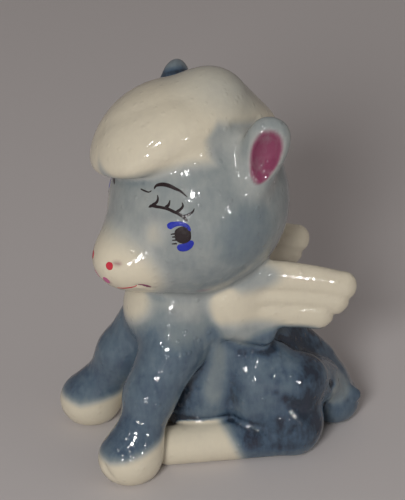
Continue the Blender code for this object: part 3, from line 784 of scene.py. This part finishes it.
def skinned(grid, low, cell):
    """Points and four-sided faces along the zero level: one point for each sheet in a cell."""
    sheets = np.array([sheets_of(case) for case in range(256)])
    cells = np.array(grid.shape) - 1
    clay = (grid < 0).astype(np.int64)
    case = np.zeros(cells, np.int64)
    for number in range(8):
        i, j, k = number >> 2, number >> 1 & 1, number & 1
        case += clay[i : i + cells[0], j : j + cells[1], k : k + cells[2]] << number
    case = case.reshape(-1)
    stride = np.array([cells[1] * cells[2], cells[2], 1])
    total = np.zeros((4 * len(case), 3))
    count = np.zeros(4 * len(case), np.int32)
    faces = []
    for axis in range(3):
        second, third = (axis + 1) % 3, (axis + 2) % 3
        before = np.take(grid, np.arange(cells[axis]), axis)
        after = np.take(grid, np.arange(1, cells[axis] + 1), axis)
        edge = np.argwhere((before < 0) != (after < 0))
        start, end = before[tuple(edge.T)], after[tuple(edge.T)]
        crossing = edge.astype(float)
        crossing[:, axis] += start / (start - end)
        ring = []
        for back_second, back_third in ((1, 1), (0, 1), (0, 0), (1, 0)):
            corner = edge.copy()
            corner[:, second] -= back_second
            corner[:, third] -= back_third
            flat = corner @ stride
            point = 4 * flat + sheets[case[flat], axis * 4 + 2 * back_second + back_third]
            ring.append(point)
            np.add.at(total, point, crossing)
            np.add.at(count, point, 1)
        ring = np.stack(ring, 1)
        leaving = end < 0
        ring[leaving] = ring[leaving][:, ::-1]
        faces.append(ring)
    used, faces = np.unique(np.concatenate(faces), return_inverse=True)
    points = total[used] / count[used][:, None] * cell + low
    return points.astype(np.float32), faces.reshape(-1, 4)


def slope_of(field, points):
    slope = np.empty_like(points)
    for axis in range(3):
        nudge = np.zeros(3, np.float32)
        nudge[axis] = SLOPE_STEP
        slope[:, axis] = (field(points + nudge) - field(points - nudge)) / (2 * SLOPE_STEP)
    return slope


def settled(field, points):
    """The points moved onto the zero level along the field's slope."""
    for _ in range(SETTLE_ROUNDS):
        slope = slope_of(field, points)
        steep = np.maximum((slope * slope).sum(1), 1e-3)
        move = -(field(points) / steep)[:, None] * slope
        length = np.maximum(np.linalg.norm(move, axis=1), 1e-9)
        points = points + move * np.minimum(1, SETTLE_STEP / length)[:, None]
    return points


def sprayed(wash, points, sprays):
    """The wash after each spray has been laid over its place. Some sprays are painted shade."""
    for target, edge, both, centre, radii in sprays:
        away = ball(points, centre, radii)
        if both:
            away = np.minimum(away, ball(points * MIRROR, centre, radii))
        wash = mix(wash, target, within(-away, edge))
    return wash


def hair_edge(own):
    """How far inside the cream of the hair each point of the head lies."""
    aside, forward, up = np.abs(own[:, 0]), own[:, 1], own[:, 2]
    over_brow = up - HEM_HEIGHT - HEM_RISE * np.clip(aside - HEM_START, 0, HEM_REACH)
    beside = forward - HEM_FRONT + HEM_FRONT_SLOPE * np.maximum(up - HEM_TOP, 0)
    above_ear = up - PARTING_HEIGHT - PARTING_SLOPE * forward
    far = np.maximum(-forward - NAPE_START, -own[:, 0] - RIGHT_START)
    loose = np.minimum(face(own) - mane(own), far)
    return np.maximum(np.maximum(np.minimum(over_brow, beside), above_ear), loose)


def painted(points):
    """How thick the blue wash and the rose lie at each point of the surface. The wash also carries painted
    shade: in hollows, between parts, on the belly, behind the haunches, on the crown and under the right
    ear.
    """
    own = in_head(points)
    skull = np.minimum(face(own), mane(own))
    ears = np.minimum(ear(own, EAR_STAND), ear(own * MIRROR, RIGHT_EAR_STAND))
    wings = np.minimum(wing(points), right_wing(points))
    feet = np.minimum(hind_foot(points), hind_foot(points * MIRROR))
    body = torso(points)
    for side, step in ((points, HOOF_STEP), (points * MIRROR, RIGHT_HOOF_STEP)):
        body = np.minimum(body, np.minimum(foreleg(side, step), hind_leg(side)))
    brush = tail(points)

    wash = sprayed(np.full(len(points), BODY_WASH, np.float32), points, BODY_SPRAYS_AND_SHADE)
    toe = points[:, 1] - FOOT_CREAM_START - FOOT_CREAM_SLOPE * points[:, 2]
    wash = mix(wash, WING_WASH, within(toe, FOOT_EDGE) * within(FOOT_SIDE - feet, FOOT_SIDE))
    cream_top = HOOF_CREAM_HEIGHT + HOOF_CREAM_SLOPE * np.abs(HOOF_CREAM_FRONT - points[:, 1])
    hoof = within(cream_top - points[:, 2], HOOF_EDGE)
    ahead = smooth((points[:, 1] - SHOULDER_FORWARD - FORELEG_AHEAD) / HOOF_AHEAD_SPAN)
    wash = mix(wash, WING_WASH, hoof * ahead * within(feet - HOOF_GAP, HOOF_GAP))
    wash = mix(wash, sprayed(wash, points, TAIL_SPRAYS), within(body - brush, TAIL_EDGE))
    feathers = sprayed(np.full(len(points), WING_WASH, np.float32), points, WING_SPRAYS)
    wash = mix(wash, feathers, within(body - wings, WING_EDGE))

    hide = sprayed(np.full(len(points), HEAD_WASH, np.float32), own, HEAD_SPRAYS)
    # The hair's cream, with its painted crown shade
    hair_with_crown_shade = sprayed(np.full(len(points), MANE_WASH, np.float32), own, MANE_CROWN_SHADE)
    hide = mix(hide, hair_with_crown_shade, within(hair_edge(own), HAIR_EDGE))
    ear_wash_and_shadow = sprayed(np.full(len(points), EAR_WASH, np.float32), own, EAR_WASH_AND_SHADOW)
    hide = mix(hide, ear_wash_and_shadow, within(skull - ears, EAR_EDGE))
    rest = np.minimum(np.minimum(body, wings), brush)
    on_head = within(rest - np.minimum(skull, ears), HEAD_EDGE)
    wash = mix(wash, hide, on_head)

    # Pooled wash and painted shade: the blue darkens where clay lies close outside the surface, in hollows
    # and between parts, and lightens over thin edges
    normal = slope_of(foal, points)
    normal /= np.maximum(np.linalg.norm(normal, axis=1), 1e-6)[:, None]
    pooled_and_shaded = 1 - foal(points + normal * POOL_AND_SHADE_DEPTH) / POOL_AND_SHADE_DEPTH
    rim = 1 + foal(points - normal * RIM_DEPTH) / RIM_DEPTH
    pooled_and_shaded, rim = np.clip(pooled_and_shaded, 0, 1), np.clip(rim, 0, 1)
    blue = smooth((wash - POOL_AND_SHADE_START) / POOL_AND_SHADE_SPAN)
    wash = wash + blue * (POOL_AND_SHADE_WASH * pooled_and_shaded * mix(1, HEAD_POOL_AND_SHADE, on_head) - RIM_WASH * rim)

    rose = np.zeros(len(points), np.float32)
    for side, stand in ((own, EAR_STAND), (own * MIRROR, RIGHT_EAR_STAND)):
        hollow = ear_hollow(in_ear(side, stand))
        rose = np.maximum(rose, within(ROSE_EDGE / 2 - hollow, ROSE_EDGE))
        for strength, edge, centre, radii in ROSE_SPRAYS:
            rose = np.maximum(rose, strength * within(-ball(side, centre, radii), edge))
    return {"wash": wash, "rose": rose}


def tone(code):
    """Linear colour of a six-digit screen colour."""
    parts = [int(code[place : place + 2], 16) / 255 for place in (0, 2, 4)]
    linear = [part / 12.92 if part < 0.04045 else ((part + 0.055) / 1.055) ** 2.4 for part in parts]
    return (*linear, 1.0)


def colour_property(name, description, code):
    return bpy.props.FloatVectorProperty(
        name=name, description=description, subtype="COLOR", size=4, min=0, max=1, default=tone(code)
    )


def number_property(name, description, default, unit="NONE"):
    return bpy.props.FloatProperty(
        name=name, description=description, default=default, min=0, unit=unit, precision=6
    )


class FoalClaySettings(bpy.types.PropertyGroup):
    """Sizes of the clay surface"""

    cell: number_property("Cell", "Distance between the samples of the clay", 0.32 * MM, "LENGTH")
    ripple: number_property("Glaze ripple", "Height of the ripples in the glaze", 0.030 * MM, "LENGTH")
    thickness: number_property("Enamel", "Height of a brush mark over the glaze", 0.03 * MM, "LENGTH")


class FoalPaintSettings(bpy.types.PropertyGroup):
    """Colours of the glaze and the enamels"""

    cream: colour_property("Cream", "Bare glazed china", "D9CFB8")
    pale: colour_property("Pale wash", "Thinnest blue wash", "C3BEAE")
    mist: colour_property("Mist wash", "Thin blue wash, as on the brow", "A7A9A4")
    grey: colour_property("Grey wash", "Blue wash of the cheeks", "808A8C")
    slate: colour_property("Slate wash", "Blue wash of the body", "60707C")
    deep: colour_property("Deep wash", "Thick blue wash", "425466")
    # Darkest wash, reached where pooled wash and painted shade add up in folds
    night: colour_property("Night wash", "Wash that has pooled in a fold", "26313E")
    rose: colour_property("Rose", "Inside of the ears", "823C59")
    umber: colour_property("Umber", "Lashes, brows and pupils", "241A1C")
    ultramarine: colour_property("Ultramarine", "Irises", "1E2C9C")
    rose_red: colour_property("Rose red", "Nostrils and mouth", "B82C3C")
    rose_pink: colour_property("Rose pink", "Lips", "B85A84")
    plum: colour_property("Plum", "Corners of the mouth", "84465E")


class FoalStageSettings(bpy.types.PropertyGroup):
    """Table, lamps and camera"""

    table: colour_property("Table", "Colour of the table", "CDC7C5")
    key_power: number_property("Key lamp", "Power of the soft main lamp", 2.05, "POWER")
    fill_power: number_property("Fill lamp", "Power of the lamp on the other side", 0.25, "POWER")
    spark_power: number_property("Spark lamps", "Power of the lamps that only glint", 0.8, "POWER")
    sky: number_property("Sky", "Strength of the light from all round", 0.34)


class Wiring:
    """Adds nodes to a tree and joins them by socket name."""

    def __init__(self, tree):
        self.tree = tree

    def add(self, kind, inputs=None, **settings):
        node = self.tree.nodes.new(kind)
        for name, value in settings.items():
            setattr(node, name, value)
        for name, value in (inputs or {}).items():
            socket = node.inputs[name]
            if isinstance(value, bpy.types.NodeSocket):
                self.tree.links.new(value, socket)
            else:
                socket.default_value = value
        return node

    def math(self, operation, first, second=0.0, clamp=False):
        node = self.add("ShaderNodeMath", {0: first, 1: second}, operation=operation, use_clamp=clamp)
        return node.outputs[0]

    def blend(self, share, first, second):
        node = self.add("ShaderNodeMix", {0: share, 6: first, 7: second}, data_type="RGBA")
        return node.outputs[2]

    def group(self, maker, inputs):
        """The output of a node group, which its maker builds once."""
        group = bpy.data.node_groups.get(maker.__name__) or maker()
        return self.add("ShaderNodeGroup", inputs, node_tree=group).outputs[0]


def node_group(name, kind, sockets):
    """An empty node group, its wiring and its two ends. Each socket has a direction and a kind."""
    group = bpy.data.node_groups.new(name, kind)
    for socket, (direction, value) in sockets.items():
        group.interface.new_socket(socket, in_out=direction, socket_type=f"NodeSocket{value}")
    wires = Wiring(group)
    return group, wires, wires.add("NodeGroupInput").outputs, wires.add("NodeGroupOutput").inputs


def glaze_ripple():
    """Small ripples and specks of a hand-dipped glaze, as a normal."""
    sockets = {"Ripple": ("INPUT", "Float"), "Normal": ("OUTPUT", "Vector")}
    group, wires, given, out = node_group("glaze_ripple", "ShaderNodeTree", sockets)
    place = wires.add("ShaderNodeTexCoord").outputs["Object"]
    fine = wires.add("ShaderNodeTexNoise", {"Vector": place, "Scale": GRAIN_SCALE, "Detail": 2.0})
    swell = wires.add("ShaderNodeTexNoise", {"Vector": place, "Scale": SWELL_SCALE, "Detail": 2.0})
    swell = wires.math("MULTIPLY", swell.outputs["Fac"], SWELL_HEIGHT)
    height = wires.math("ADD", fine.outputs["Fac"], swell)
    specks = wires.add("ShaderNodeTexVoronoi", {"Vector": place, "Scale": SPECK_SCALE})
    away = wires.math("MULTIPLY", specks.outputs["Distance"], SPECK_NARROWNESS)
    speck = wires.math("SUBTRACT", 1.0, wires.math("MULTIPLY", away, away), clamp=True)
    height = wires.math("ADD", height, wires.math("MULTIPLY", speck, SPECK_HEIGHT))
    bump = wires.add("ShaderNodeBump", {"Height": height, "Distance": given["Ripple"], "Strength": 1.0})
    wires.tree.links.new(bump.outputs["Normal"], out["Normal"])
    return group


def wash_mottle():
    """Uneven thickness of a brushed and sprayed wash."""
    sockets = {"Wash": ("INPUT", "Float"), "Mottle": ("INPUT", "Float"), "Uneven": ("OUTPUT", "Float")}
    group, wires, given, out = node_group("wash_mottle", "ShaderNodeTree", sockets)
    place = wires.add("ShaderNodeTexCoord").outputs["Object"]
    cloud = {"Vector": place, "Scale": CLOUD_SCALE, "Detail": 4.0, "Roughness": CLOUD_ROUGHNESS}
    cloud = wires.add("ShaderNodeTexNoise", cloud)
    stretch = wires.add("ShaderNodeMapping", {"Vector": place, "Scale": STREAK_SCALE})
    streak = wires.add("ShaderNodeTexNoise", {"Vector": stretch.outputs[0], "Scale": 1.0, "Detail": 3.0})
    streak = wires.math("MULTIPLY", streak.outputs["Fac"], STREAK_SHARE)
    both = wires.math("ADD", cloud.outputs["Fac"], streak)
    uneven = wires.math("MULTIPLY", wires.math("SUBTRACT", both, MOTTLE_MIDDLE), given["Mottle"])
    thick = wires.math("MULTIPLY", given["Wash"], given["Wash"])
    share = wires.math("ADD", wires.math("MULTIPLY", thick, THICK_MOTTLE), THIN_MOTTLE, clamp=True)
    wash = wires.math("ADD", given["Wash"], wires.math("MULTIPLY", uneven, share))
    wires.tree.links.new(wash, out["Uneven"])
    return group


def new_material(name):
    material = bpy.data.materials.new(name)
    material.use_nodes = True
    return material, Wiring(material.node_tree), material.node_tree.nodes["Principled BSDF"].inputs


def china_material(paint, clay):
    """Cream china under blue washes of changing thickness, with a rose in the ears."""
    material, wires, shader = new_material("painted_china")
    wash = wires.add("ShaderNodeAttribute", attribute_name="wash").outputs["Fac"]
    rose = wires.add("ShaderNodeAttribute", attribute_name="rose").outputs["Fac"]
    wash = wires.group(wash_mottle, {"Wash": wash, "Mottle": WASH_MOTTLE})
    ramp = wires.add("ShaderNodeValToRGB", {"Fac": wash})
    elements = ramp.color_ramp.elements
    elements.remove(elements[1])
    elements[0].color = paint.cream
    for name, place in WASH_STOPS:
        elements.new(place).color = getattr(paint, name)
    uneven = wires.group(wash_mottle, {"Wash": rose, "Mottle": ROSE_MOTTLE})
    uneven = wires.math("MULTIPLY", uneven, 1.0, clamp=True)
    tinted = wires.blend(uneven, ramp.outputs["Color"], paint.rose)
    wires.tree.links.new(tinted, shader["Base Color"])
    height = wires.math("MULTIPLY", wires.math("ADD", wash, CREAM_RIPPLE), clay.ripple)
    wires.tree.links.new(wires.group(glaze_ripple, {"Ripple": height}), shader["Normal"])
    shader["Roughness"].default_value = GLAZE_ROUGHNESS
    shader["IOR"].default_value = GLAZE_IOR
    return material


def enamel_material(name, colour, clay):
    """One enamel, brushed on thinly and fired into the glaze."""
    material, wires, shader = new_material(name)
    thick = wires.group(wash_mottle, {"Wash": ENAMEL_COVER, "Mottle": ENAMEL_MOTTLE})
    times, plus = THIN_ENAMEL
    thin = tuple(min(1.0, part * times + plus) for part in colour[:3])
    wires.tree.links.new(wires.blend(thick, (*thin, 1.0), colour), shader["Base Color"])
    wires.tree.links.new(wires.group(glaze_ripple, {"Ripple": clay.ripple}), shader["Normal"])
    shader["Roughness"].default_value = ENAMEL_ROUGHNESS
    return material


def link_item(name, data):
    item = bpy.data.objects.new(name, data)
    bpy.context.scene.collection.objects.link(item)
    return item


def to_scene(points, offset):
    """Figure points in millimetres as scene points in metres."""
    return (points * vec(1, -1, 1) + offset) * MM


def box_offset(points):
    """What centres the figure over the origin."""
    scene_points = points * vec(1, -1, 1)
    middle = (scene_points.min(axis=0) + scene_points.max(axis=0)) / 2
    return vec(-middle[0], -middle[1], 0)


class FOAL_OT_figure(bpy.types.Operator):
    """Builds the clay of the foal, with its washes"""

    bl_idname = "foal.figure"
    bl_label = "Figure"

    def execute(self, context):
        clay, paint = context.scene.foal_clay, context.scene.foal_paint
        cell = clay.cell / MM
        low, high = clay_box(cell)
        points, faces = skinned(sampled(foal, low, high, cell), low, cell)
        points = settled(foal, points)
        layers = painted(points)
        offset = box_offset(points)
        context.scene["foal_offset"] = offset.tolist()
        places = to_scene(points, offset)
        places[:, 2][places[:, 2] < FLAT_BAND * MM] = 0
        places = np.clip(places, np.array(CAD_BOX[0]), np.array(CAD_BOX[1]))
        mesh = bpy.data.meshes.new("china_foal")
        mesh.from_pydata(places.tolist(), [], faces[:, ::-1].tolist())
        for name, values in layers.items():
            layer = mesh.attributes.new(name, "FLOAT", "POINT")
            layer.data.foreach_set("value", values.astype(np.float32))
        mesh.shade_smooth()
        mesh.materials.append(china_material(paint, clay))
        item = link_item("china_foal", mesh)
        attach(item, BODY)
        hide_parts(NODE)
        return {"FINISHED"}


def mark_tree():
    """A brush mark: a path over the face becomes a thin strip of enamel that hugs the clay.

    The path is laid on the surface, given a round section as wide as the brush, and each point of
    that section is then moved in or out along its line to the middle of the head, so that the mark
    stands only its own thickness over the clay.
    """
    sockets = {
        "Path": ("INPUT", "Geometry"),
        "Clay": ("INPUT", "Object"),
        "Middle": ("INPUT", "Vector"),
        "Reach": ("INPUT", "Float"),
        "Thickness": ("INPUT", "Float"),
        "Enamel": ("INPUT", "Material"),
        "Mark": ("OUTPUT", "Geometry"),
    }
    tree, wires, given, out = node_group("brush_mark", "GeometryNodeTree", sockets)
    clay = wires.add("GeometryNodeObjectInfo", {"Object": given["Clay"]}, transform_space="RELATIVE")

    def vector(operation, first, second=None, scale=None):
        inputs = {0: first, 1: second, "Scale": scale}
        inputs = {socket: value for socket, value in inputs.items() if value is not None}
        return wires.add("ShaderNodeVectorMath", inputs, operation=operation).outputs

    def landed():
        """The spot on the clay under each point, and the way there."""
        place = wires.add("GeometryNodeInputPosition").outputs[0]
        way = vector("NORMALIZE", vector("SUBTRACT", given["Middle"], place)[0])[0]
        start = vector("SUBTRACT", given["Middle"], vector("SCALE", way, scale=given["Reach"])[0])[0]
        ray = {"Target Geometry": clay.outputs["Geometry"], "Source Position": start}
        ray = wires.add("GeometryNodeRaycast", {**ray, "Ray Direction": way, "Ray Length": given["Reach"]})
        return place, way, ray.outputs["Hit Position"]

    path = wires.add("GeometryNodeCurveSplineType", {"Curve": given["Path"]}, spline_type="CATMULL_ROM")
    path = wires.add("GeometryNodeResampleCurve", {"Curve": path.outputs[0], "Count": MARK_STEPS})
    spot = landed()[2]
    laid = wires.add("GeometryNodeSetPosition", {"Geometry": path.outputs[0], "Position": spot})
    width = wires.add("GeometryNodeInputRadius").outputs[0]
    passed = wires.add("GeometryNodeSplineParameter").outputs["Length"]
    whole = wires.add("GeometryNodeSplineLength").outputs["Length"]
    to_end = wires.math("MINIMUM", passed, wires.math("SUBTRACT", whole, passed))
    inset = wires.math("SUBTRACT", 1.0, wires.math("DIVIDE", to_end, width), clamp=True)
    narrowed = wires.math("MULTIPLY", wires.math("POWER", inset, END_POWER), END_NARROWING)
    round_end = wires.math("SUBTRACT", 1.0, narrowed)
    width = wires.math("MULTIPLY", width, wires.math("SQRT", round_end))
    section = wires.add("GeometryNodeCurvePrimitiveCircle", {"Resolution": MARK_SIDES, "Radius": 1.0})
    tube = {"Curve": laid.outputs[0], "Profile Curve": section.outputs[0]}
    tube = wires.add("GeometryNodeCurveToMesh", {**tube, "Fill Caps": True, "Scale": width})
    place, way, spot = landed()
    above = vector("DOT_PRODUCT", vector("SUBTRACT", spot, place)[0], way)["Value"]
    lift = wires.math("MULTIPLY", wires.math("SIGN", above), given["Thickness"])
    hugged = vector("SUBTRACT", spot, vector("SCALE", way, scale=lift)[0])[0]
    flat = wires.add("GeometryNodeSetPosition", {"Geometry": tube.outputs[0], "Position": hugged})
    mark = wires.add("GeometryNodeRealizeInstances", {"Geometry": flat.outputs[0]}).outputs[0]
    mark = wires.add("GeometryNodeSetMaterial", {"Geometry": mark, "Material": given["Enamel"]})
    wires.tree.links.new(mark.outputs[0], out["Mark"])
    return tree


def head_direction(turn, rise):
    """Figure direction of two head angles in degrees."""
    turn, rise = math.radians(turn), math.radians(rise)
    own = vec(math.sin(turn) * math.cos(rise), math.cos(turn) * math.cos(rise), math.sin(rise))
    return turned(HEAD_TURN) @ own


def mark_path(name, points, offset, mirrored):
    """A curve of the mark's points, out in front of the head, with a width at each."""
    curve = bpy.data.curves.new(name, "CURVE")
    curve.dimensions = "3D"
    spline = curve.splines.new("POLY")
    spline.points.add(len(points) - 1)
    for number, (turn, rise, width) in enumerate(points):
        if mirrored:
            turn, rise = -turn, min(rise, mix(LASH_FOOT, rise, RIGHT_LASH_SHARE))
        way = head_direction(turn, rise)
        place = to_scene(HEAD + way * HEAD_RADIUS, offset)
        spline.points[number].co = (*place.tolist(), 1.0)
        spline.points[number].radius = width * MM
    return link_item(name, curve)


class FOAL_OT_face_marks(bpy.types.Operator):
    """Paints lashes, brows, eyes, nostrils and mouth on the face"""

    bl_idname = "foal.face_marks"
    bl_label = "Face marks"

    def execute(self, context):
        clay, paint = context.scene.foal_clay, context.scene.foal_paint
        figure = bpy.data.objects["china_foal"]
        offset = vec(*context.scene["foal_offset"])
        tree = mark_tree()
        names = ("umber", "ultramarine", "rose_red", "rose_pink", "plum")
        enamels = {name: enamel_material(name, tuple(getattr(paint, name)), clay) for name in names}
        inputs = {socket.name: socket.identifier for socket in tree.interface.items_tree}
        for mirrored, side in ((False, "left"), (True, "right")):
            for mark, (enamel, points) in FACE_MARKS.items():
                if mirrored and mark in HIDDEN_RIGHT:
                    continue
                name = f"{mark}_{side}"
                path = mark_path(name + "_path", points, offset, mirrored)
                stroke = path.modifiers.new("brush_mark", "NODES")
                stroke.node_group = tree
                stroke[inputs["Clay"]] = figure
                stroke[inputs["Middle"]] = to_scene(HEAD, offset).tolist()
                stroke[inputs["Reach"]] = 2 * HEAD_RADIUS * MM
                stroke[inputs["Thickness"]] = clay.thickness
                stroke[inputs["Enamel"]] = enamels[enamel]
                graph = context.evaluated_depsgraph_get()
                mesh = bpy.data.meshes.new_from_object(path.evaluated_get(graph), depsgraph=graph)
                bpy.data.objects.remove(path, do_unlink=True)
                mesh.name = name
                mesh.shade_smooth()
                item = link_item(name, mesh)
                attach(item, BODY)
        return {"FINISHED"}


def away_from(turn, rise):
    """Direction from the object towards a viewer at these angles, in degrees."""
    turn, rise = math.radians(turn), math.radians(rise)
    return Vector((math.sin(turn) * math.cos(rise), -math.cos(turn) * math.cos(rise), math.sin(rise)))


def aimed(item, target, way, distance):
    item.location = target + way * distance
    item.rotation_euler = (-way).to_track_quat("-Z", "Y").to_euler()
    bpy.context.scene.collection.objects.link(item)


def oval_lamp(name, turn, rise, distance, width, height, power, mirrored):
    """An oval lamp aimed at the figure. It only lights, or else only shows as a glint in the glaze."""
    lamp = bpy.data.lights.new(name, "AREA")
    lamp.shape = "ELLIPSE"
    lamp.size = width
    lamp.size_y = height
    lamp.energy = power
    item = bpy.data.objects.new(name, lamp)
    item.visible_glossy = mirrored
    item.visible_diffuse = not mirrored
    aimed(item, Vector(CAMERA_TARGET) * MM, away_from(turn, rise), distance)


class FOAL_OT_stage(bpy.types.Operator):
    """Sets up the table, the soft lamps and the camera"""

    bl_idname = "foal.stage"
    bl_label = "Stage"

    def execute(self, context):
        stage = context.scene.foal_stage
        mesh = bpy.data.meshes.new("table_top")
        corners = [(x * TABLE_HALF, y * TABLE_HALF) for x, y in ((-1, -1), (1, -1), (1, 1), (-1, 1))]
        mesh.from_pydata([(x, y, -TABLE_DROP * MM) for x, y in corners], [], [(0, 1, 2, 3)])
        table = link_item("table_top", mesh)
        material, _, shader = new_material("table_paper")
        shader["Base Color"].default_value = stage.table
        shader["Roughness"].default_value = TABLE_ROUGHNESS
        mesh.materials.append(material)

        oval_lamp("key_lamp", *KEY_LAMP, stage.key_power, False)
        oval_lamp("fill_lamp", *FILL_LAMP, stage.fill_power, False)
        for number, (turn, rise, share) in enumerate(SPARKS):
            place = (turn, rise, SPARK_DISTANCE, *SPARK_SIZE)
            oval_lamp(f"spark_lamp_{number}", *place, share * stage.spark_power, True)

        world = bpy.data.worlds.new("studio")
        world.use_nodes = True
        background = world.node_tree.nodes["Background"]
        background.inputs["Color"].default_value = stage.table
        background.inputs["Strength"].default_value = stage.sky
        context.scene.world = world

        lens = bpy.data.cameras.new("camera")
        lens.sensor_fit = "VERTICAL"
        lens.sensor_height = SENSOR_HEIGHT
        lens.lens = SENSOR_HEIGHT * CAMERA_DISTANCE / VIEW_HEIGHT
        lens.clip_start = CLIP_START
        camera = bpy.data.objects.new("camera", lens)
        way = away_from(CAMERA_TURN, CAMERA_RISE)
        aimed(camera, Vector(CAMERA_TARGET) * MM, way, CAMERA_DISTANCE * MM)
        context.scene.camera = camera
        context.scene.view_settings.view_transform = "Standard"
        return {"FINISHED"}


class FOAL_PT_panel(bpy.types.Panel):
    bl_label = "Winged foal"
    bl_idname = "FOAL_PT_panel"
    bl_space_type = "VIEW_3D"
    bl_region_type = "UI"
    bl_category = "Foal"

    def draw(self, context):
        for operator in OPERATORS:
            self.layout.operator(operator.bl_idname)
        for group, settings in SETTINGS.items():
            for name in settings.__annotations__:
                self.layout.prop(getattr(context.scene, group), name)


SETTINGS = {
    "foal_clay": FoalClaySettings,
    "foal_paint": FoalPaintSettings,
    "foal_stage": FoalStageSettings,
}
OPERATORS = (FOAL_OT_figure, FOAL_OT_face_marks, FOAL_OT_stage)


def register():
    for name, settings in SETTINGS.items():
        bpy.utils.register_class(settings)
        setattr(bpy.types.Scene, name, bpy.props.PointerProperty(type=settings))
    for item in (*OPERATORS, FOAL_PT_panel):
        bpy.utils.register_class(item)


def unregister():
    for item in (*OPERATORS, FOAL_PT_panel):
        bpy.utils.unregister_class(item)
    for name, settings in SETTINGS.items():
        delattr(bpy.types.Scene, name)
        bpy.utils.unregister_class(settings)


def main():
    register()
    bpy.ops.foal.figure()
    bpy.ops.foal.face_marks()
    bpy.ops.foal.stage()


if __name__ == "__main__":
    main()
